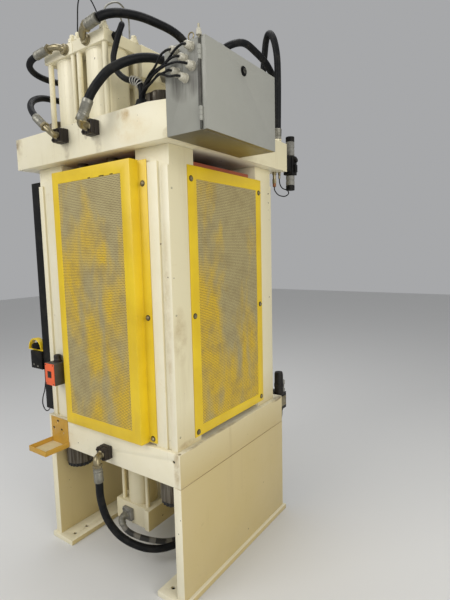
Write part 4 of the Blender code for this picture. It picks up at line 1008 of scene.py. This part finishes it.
# Valve on the crown's end: dark coil between grey bodies, with black caps
def make_valve_dress():
    x, y, z = -0.5755, 0.474, 2.0496
    bm = bmesh.new()
    for low in (z - 0.145, z + 0.127):
        lathe(bm, at(x, y, low - 0.001), UP, [
            (0, 0.0235), (0.002, 0.025), (0.026, 0.025), (0.028, 0.0235)], 24)
    ribs = []
    for k in range(14):
        low = z - 0.056 + k * 0.007
        ribs += [(low - z + 0.056, 0.0335), (low - z + 0.06, 0.0335), (low - z + 0.0602, 0.0318),
                 (low - z + 0.0628, 0.0318)]
    lathe(bm, at(x, y, z - 0.056), UP, ribs, 28)
    piece("valve_coil", bm, BLACK)
    bm = bmesh.new()
    for low, high in ((z - 0.118, z - 0.064), (z + 0.047, z + 0.126)):
        height = high - low
        lathe(bm, at(x, y, low), UP, [
            (0, 0.023), (0.002, 0.0248), (height * 0.45, 0.0248), (height * 0.47, 0.0228),
            (height * 0.55, 0.0228), (height * 0.57, 0.0248), (height - 0.002, 0.0248),
            (height, 0.023)], 24)
    slab(bm, at(x - 0.034, y - 0.026, z - 0.03), at(x - 0.028, y + 0.026, z + 0.026), 0.002)
    piece("valve_body", bm, STEP_GREY)
    bm = bmesh.new()
    slab(bm, at(x - 0.016, y + 0.028, z - 0.046), at(x + 0.016, y + 0.04, z - 0.004), 0.003)
    lathe(bm, at(x, y + 0.03, z + 0.02), TO_Y, [(0, 0.013), (0.012, 0.013), (0.014, 0.011)], 20)
    piece("valve_plug", bm, PLASTIC)


make_valve_dress()


# Palm station, switch and tray
PALM_X = 0.4


def make_stations():
    bm = bmesh.new()
    for y, z in ((-0.628, 0.952), (-0.59, 0.945)):
        dome_bolt(bm, at(0.43, y, z), TO_X, 0.0042, 0.003)
    piece("palm_screws", bm, SILVER)
    bm = bmesh.new()
    lathe(bm, at(PALM_X, -0.6223, 1.062), UP, [
        (0, 0.0335), (0.002, 0.033), (0.006, 0.0285), (0.0085, 0.02), (0.0092, 0.008)], 32)
    piece("palm_button_dome", bm, PLASTIC, "button")
    bm = bmesh.new()
    slab(bm, at(0.515, -0.3845, 0.8988), at(0.5182, -0.308, 1.0102), 0.0015)
    piece("switch_plate", bm, ORANGE)
    bm = bmesh.new()
    for y, z in ((-0.377, 0.905), (-0.3155, 0.905), (-0.377, 1.004), (-0.3155, 1.004)):
        dome_bolt(bm, at(0.5182, y, z), TO_X, 0.0028, 0.0018)
    slab(bm, at(0.518, -0.361, 0.937), at(0.5205, -0.331, 0.972), 0.002)
    lathe(bm, at(0.4668, -0.346, 1.0125), UP, [
        (0, 0.0215), (0.004, 0.0215), (0.006, 0.019), (0.012, 0.0178), (0.03, 0.0184), (0.036, 0.015),
        (0.038, 0.008)], 24)
    piece("switch_trim", bm, BLOCK)
    # A pale sheet laid on the tray's floor: painted light where the tray bottom is lit.
    bm = bmesh.new()
    slab(bm, at(0.464, -0.4415, 0.5592), at(0.5962, -0.3035, 0.5606))
    piece("tray_pan", bm, PAN_PAINTED_LIGHT)
    # Slots in the tray plate, near-black patches of painted shade.
    bm = bmesh.new()
    for y, z, length in ((-0.384, 0.683, 0.016), (-0.424, 0.64, 0.014), (-0.356, 0.64, 0.014)):
        slab(bm, at(0.4622, y - length / 2, z - 0.0045), at(0.46318, y + length / 2, z + 0.0045), 0.0015, 1)
    piece("tray_slots", bm, HOLE_SHADE)
    points = [(PALM_X, y, z) for y, z in (
        (-0.566, 0.928), (-0.566, 0.905), (-0.574, 0.86), (-0.59, 0.8), (-0.612, 0.755),
        (-0.618, 0.715), (-0.6, 0.685), (-0.574, 0.682), (-0.5505, 0.7))]
    thin_cord("palm_cable", placed_route(points, 0.006), 0.006, RUBBER, 10, DOWN, TO_Y)


make_stations()


# Caps of the main cylinders: washers under the tie nuts, and domed stud ends
TIE_APART = 0.085
CYLINDERS = [(0.025 + sx * 0.36, -0.05 + sy * 0.1053) for sx in (1, -1) for sy in (1, -1)]


def make_cap_trim():
    bm = bmesh.new()
    for x, y in CYLINDERS:
        for sx, sy in FOUR:
            spot = at(x + sx * TIE_APART, y + sy * TIE_APART, CAP_TOP)
            lathe(bm, spot, UP, [(0, 0.0215), (0.0028, 0.0215), (0.0032, 0.02)], 24)
            lathe(bm, spot + Vector((0, 0, 0.029)), UP, [
                (0, 0.0125), (0.001, 0.0128), (0.0055, 0.011), (0.0075, 0.006)], 16)
        lathe(bm, at(x, y, CAP_TOP), UP, [(0, 0.032), (0.004, 0.032), (0.006, 0.029)], 6)
        for high in (2.1463, 2.4395):
            lathe(bm, at(x, y, high), UP, [
                (0, 0.0935), (0.0005, 0.0945), (0.005, 0.0945), (0.0055, 0.0935)], 40)
    piece("cylinder_trim", bm, CREAM_CLEAN)


make_cap_trim()


# Thin steel tubes over the caps, the gauge wire and the drip loop under the valve: diameter, paint, and
# points in millimetres
THIN_LINES = {
    "thin_tube_a": (0.008, SILVER, [
        (421, 55, 2497), (421, 60, 2540), (421, 85, 2595), (390, 78, 2645), (297, 50, 2700),
        (215, 18, 2690), (190, 0, 2640), (188, -6, 2560), (188, -6, 2499)]),
    "thin_tube_b": (0.007, SILVER, [
        (385, 55, 2500), (385, 52, 2560), (372, 42, 2620), (310, 20, 2670), (240, 0, 2668),
        (222, -20, 2610), (220, -25, 2499)]),
    "thin_wire": (0.006, RUBBER, [
        (400, -125, 2500), (400, -124, 2560), (400, -118, 2630), (396, -112, 2710), (360, -124, 2775),
        (300, -138, 2772), (244, -140, 2690), (222, -132, 2580), (220, -130, 2499)]),
    "valve_loop": (0.006, RUBBER, [
        (-450, 438, 1990), (-450, 438, 1914), (-450, 440, 1895), (-452, 462, 1868), (-460, 496, 1858),
        (-470, 516, 1872), (-478, 504, 1892), (-484, 474, 1905), (-480, 460, 1924), (-478, 455, 1950),
        (-478, 455, 1990)]),
}


def make_thin_lines():
    for name, (diameter, paint, points) in THIN_LINES.items():
        thin_cord(name, placed_route(metres(points), 0.007), diameter, paint, 12)
    bm = bmesh.new()
    for x, y, z in ((0.421, 0.055, 2.4955), (0.385, 0.055, 2.4955), (0.4, -0.125, 2.4955),
                    (0.188, -0.006, 2.5), (0.22, -0.025, 2.5), (0.22, -0.13, 2.5)):
        lathe(bm, at(x, y, z), UP, [(0, 0.011), (0.01, 0.011), (0.011, 0.009)], 6)
        lathe(bm, at(x, y, z + 0.0105), UP, [(0, 0.0085), (0.012, 0.0085), (0.014, 0.0065)], 6, 0.4)
    piece("thin_line_nuts", bm, PLATED)
    bm = bmesh.new()
    lathe(bm, at(-0.45, 0.438, 1.9952), DOWN, [
        (0, 0.012), (0.014, 0.012), (0.016, 0.009), (0.04, 0.009)], 12)
    lathe(bm, at(-0.45, 0.438, 1.956), DOWN, [(0, 0.0125), (0.022, 0.0125), (0.024, 0.01)], 6)
    lathe(bm, at(-0.478, 0.455, 1.995), DOWN, [(0, 0.0085), (0.014, 0.0085), (0.0155, 0.0065)], 6)
    lathe(bm, at(-0.478, 0.455, 1.978), DOWN, [(0, 0.0062), (0.016, 0.0062), (0.0175, 0.0048)], 12)
    piece("valve_drain", bm, PLATED)
    bm = bmesh.new()
    lathe(bm, at(-0.45, 0.438, 1.933), DOWN, [(0, 0.0095), (0.016, 0.0095), (0.02, 0.006)], 16)
    piece("valve_drain_end", bm, COPPER)


make_thin_lines()


# Ejector's port block, and the fitting at the bed's far side
def make_port_details():
    x, y, z = 0.3052, -0.037, 0.2
    bm = bmesh.new()
    slab(bm, at(x, y - 0.032, z - 0.032), at(x + 0.0195, y + 0.032, z + 0.032), 0.002)
    for sy, sz in FOUR:
        lathe(bm, at(x + 0.019, y + sy * 0.0225, z + sz * 0.0225), TO_X, [
            (0, 0.0062), (0.0058, 0.0062), (0.0066, 0.0052), (0.0064, 0.0032), (0.003, 0.003)], 18)
    lathe(bm, at(x + 0.019, y, z), TO_X, [(0, 0.0205), (0.0095, 0.0205), (0.011, 0.0185)], 24)
    piece("ejector_flange", bm, STEP_GREY)
    bm = bmesh.new()
    top = 0.6
    for y, radius in ((0.41, 0.021), (0.35, 0.018)):
        lathe(bm, at(-0.53, y, top), DOWN, [
            (0.0005, radius + 0.006), (0.011, radius + 0.006), (0.0125, radius + 0.004)], 6)
    lathe(bm, at(-0.5025, 0.425, 0.7), UP, [
        (0, 0.0285), (0.012, 0.0285), (0.014, 0.0265), (0.04, 0.026), (0.042, 0.0285), (0.06, 0.0285),
        (0.062, 0.0262), (0.118, 0.0258), (0.132, 0.0225), (0.134, 0.012)], 24)
    piece("rear_fitting_trim", bm, BLOCK_DARK)
    bm = bmesh.new()
    lathe(bm, at(-0.545, 0.425, 0.6998), UP, [
        (0, 0.0165), (0.018, 0.0165), (0.02, 0.0135), (0.046, 0.0135), (0.048, 0.0165), (0.07, 0.0165),
        (0.074, 0.012)], 20)
    lathe(bm, at(-0.51, 0.365, 0.6998), UP, [(0, 0.019), (0.014, 0.019), (0.016, 0.015), (0.028, 0.015)], 6)
    piece("rear_fitting_plugs", bm, STEP_GREY)
    bm = bmesh.new()
    slab(bm, at(-0.545, 0.4452, 0.622), at(-0.48, 0.45, 0.682), 0.002)
    for sx, sz in FOUR:
        dome_bolt(bm, at(-0.5125 + sx * 0.024, 0.45, 0.652 + sz * 0.021), TO_Y, 0.005, 0.004)
    piece("rear_fitting_plate", bm, PLATED)


make_port_details()


# Stage and light
def stage():
    bm = bmesh.new()
    half, level = 14.0, -0.0005
    corner_signs = ((-1, -1), (1, -1), (1, 1), (-1, 1))
    bm.faces.new([bm.verts.new((sx * half, sy * half, level)) for sx, sy in corner_signs])
    mesh = bpy.data.meshes.new("floor")
    bm.to_mesh(mesh)
    bm.free()
    floor = enter(bpy.data.objects.new("floor", mesh))
    mat = bpy.data.materials.new("floor")
    mat.use_nodes = True
    sockets = mat.node_tree.nodes["Principled BSDF"].inputs
    sockets["Base Color"].default_value = (0.7, 0.7, 0.69, 1)
    sockets["Roughness"].default_value = 0.9
    mesh.materials.append(mat)


def area_light(name, place, target, power, colour=(1, 1, 1)):
    """A soft square lamp, 3 m a side."""
    data = bpy.data.lights.new(name, "AREA")
    data.shape = "SQUARE"
    data.size = 3.0
    data.energy = power
    data.color = colour
    lamp = enter(bpy.data.objects.new(name, data))
    lamp.location = place
    lamp.rotation_euler = (Vector(target) - Vector(place)).to_track_quat("-Z", "Y").to_euler()


def light():
    world = bpy.data.worlds.new("studio")
    bpy.context.scene.world = world
    world.use_nodes = True
    sockets = world.node_tree.nodes["Background"].inputs
    sockets["Color"].default_value = (0.92, 0.93, 0.95, 1)
    sockets["Strength"].default_value = 0.42
    area_light("key", (4.4, -1.2, 3.8), (0, 0, 1.3), 118, (1.0, 0.99, 0.97))
    area_light("fill", (1.6, 4.8, 2.6), (0, 0, 1.2), 118, (1.0, 0.98, 0.93))
    area_light("top", (-0.6, -0.4, 5.2), (0, 0, 1.5), 70)


stage()
light()
bpy.context.scene.view_settings.view_transform = "Standard"
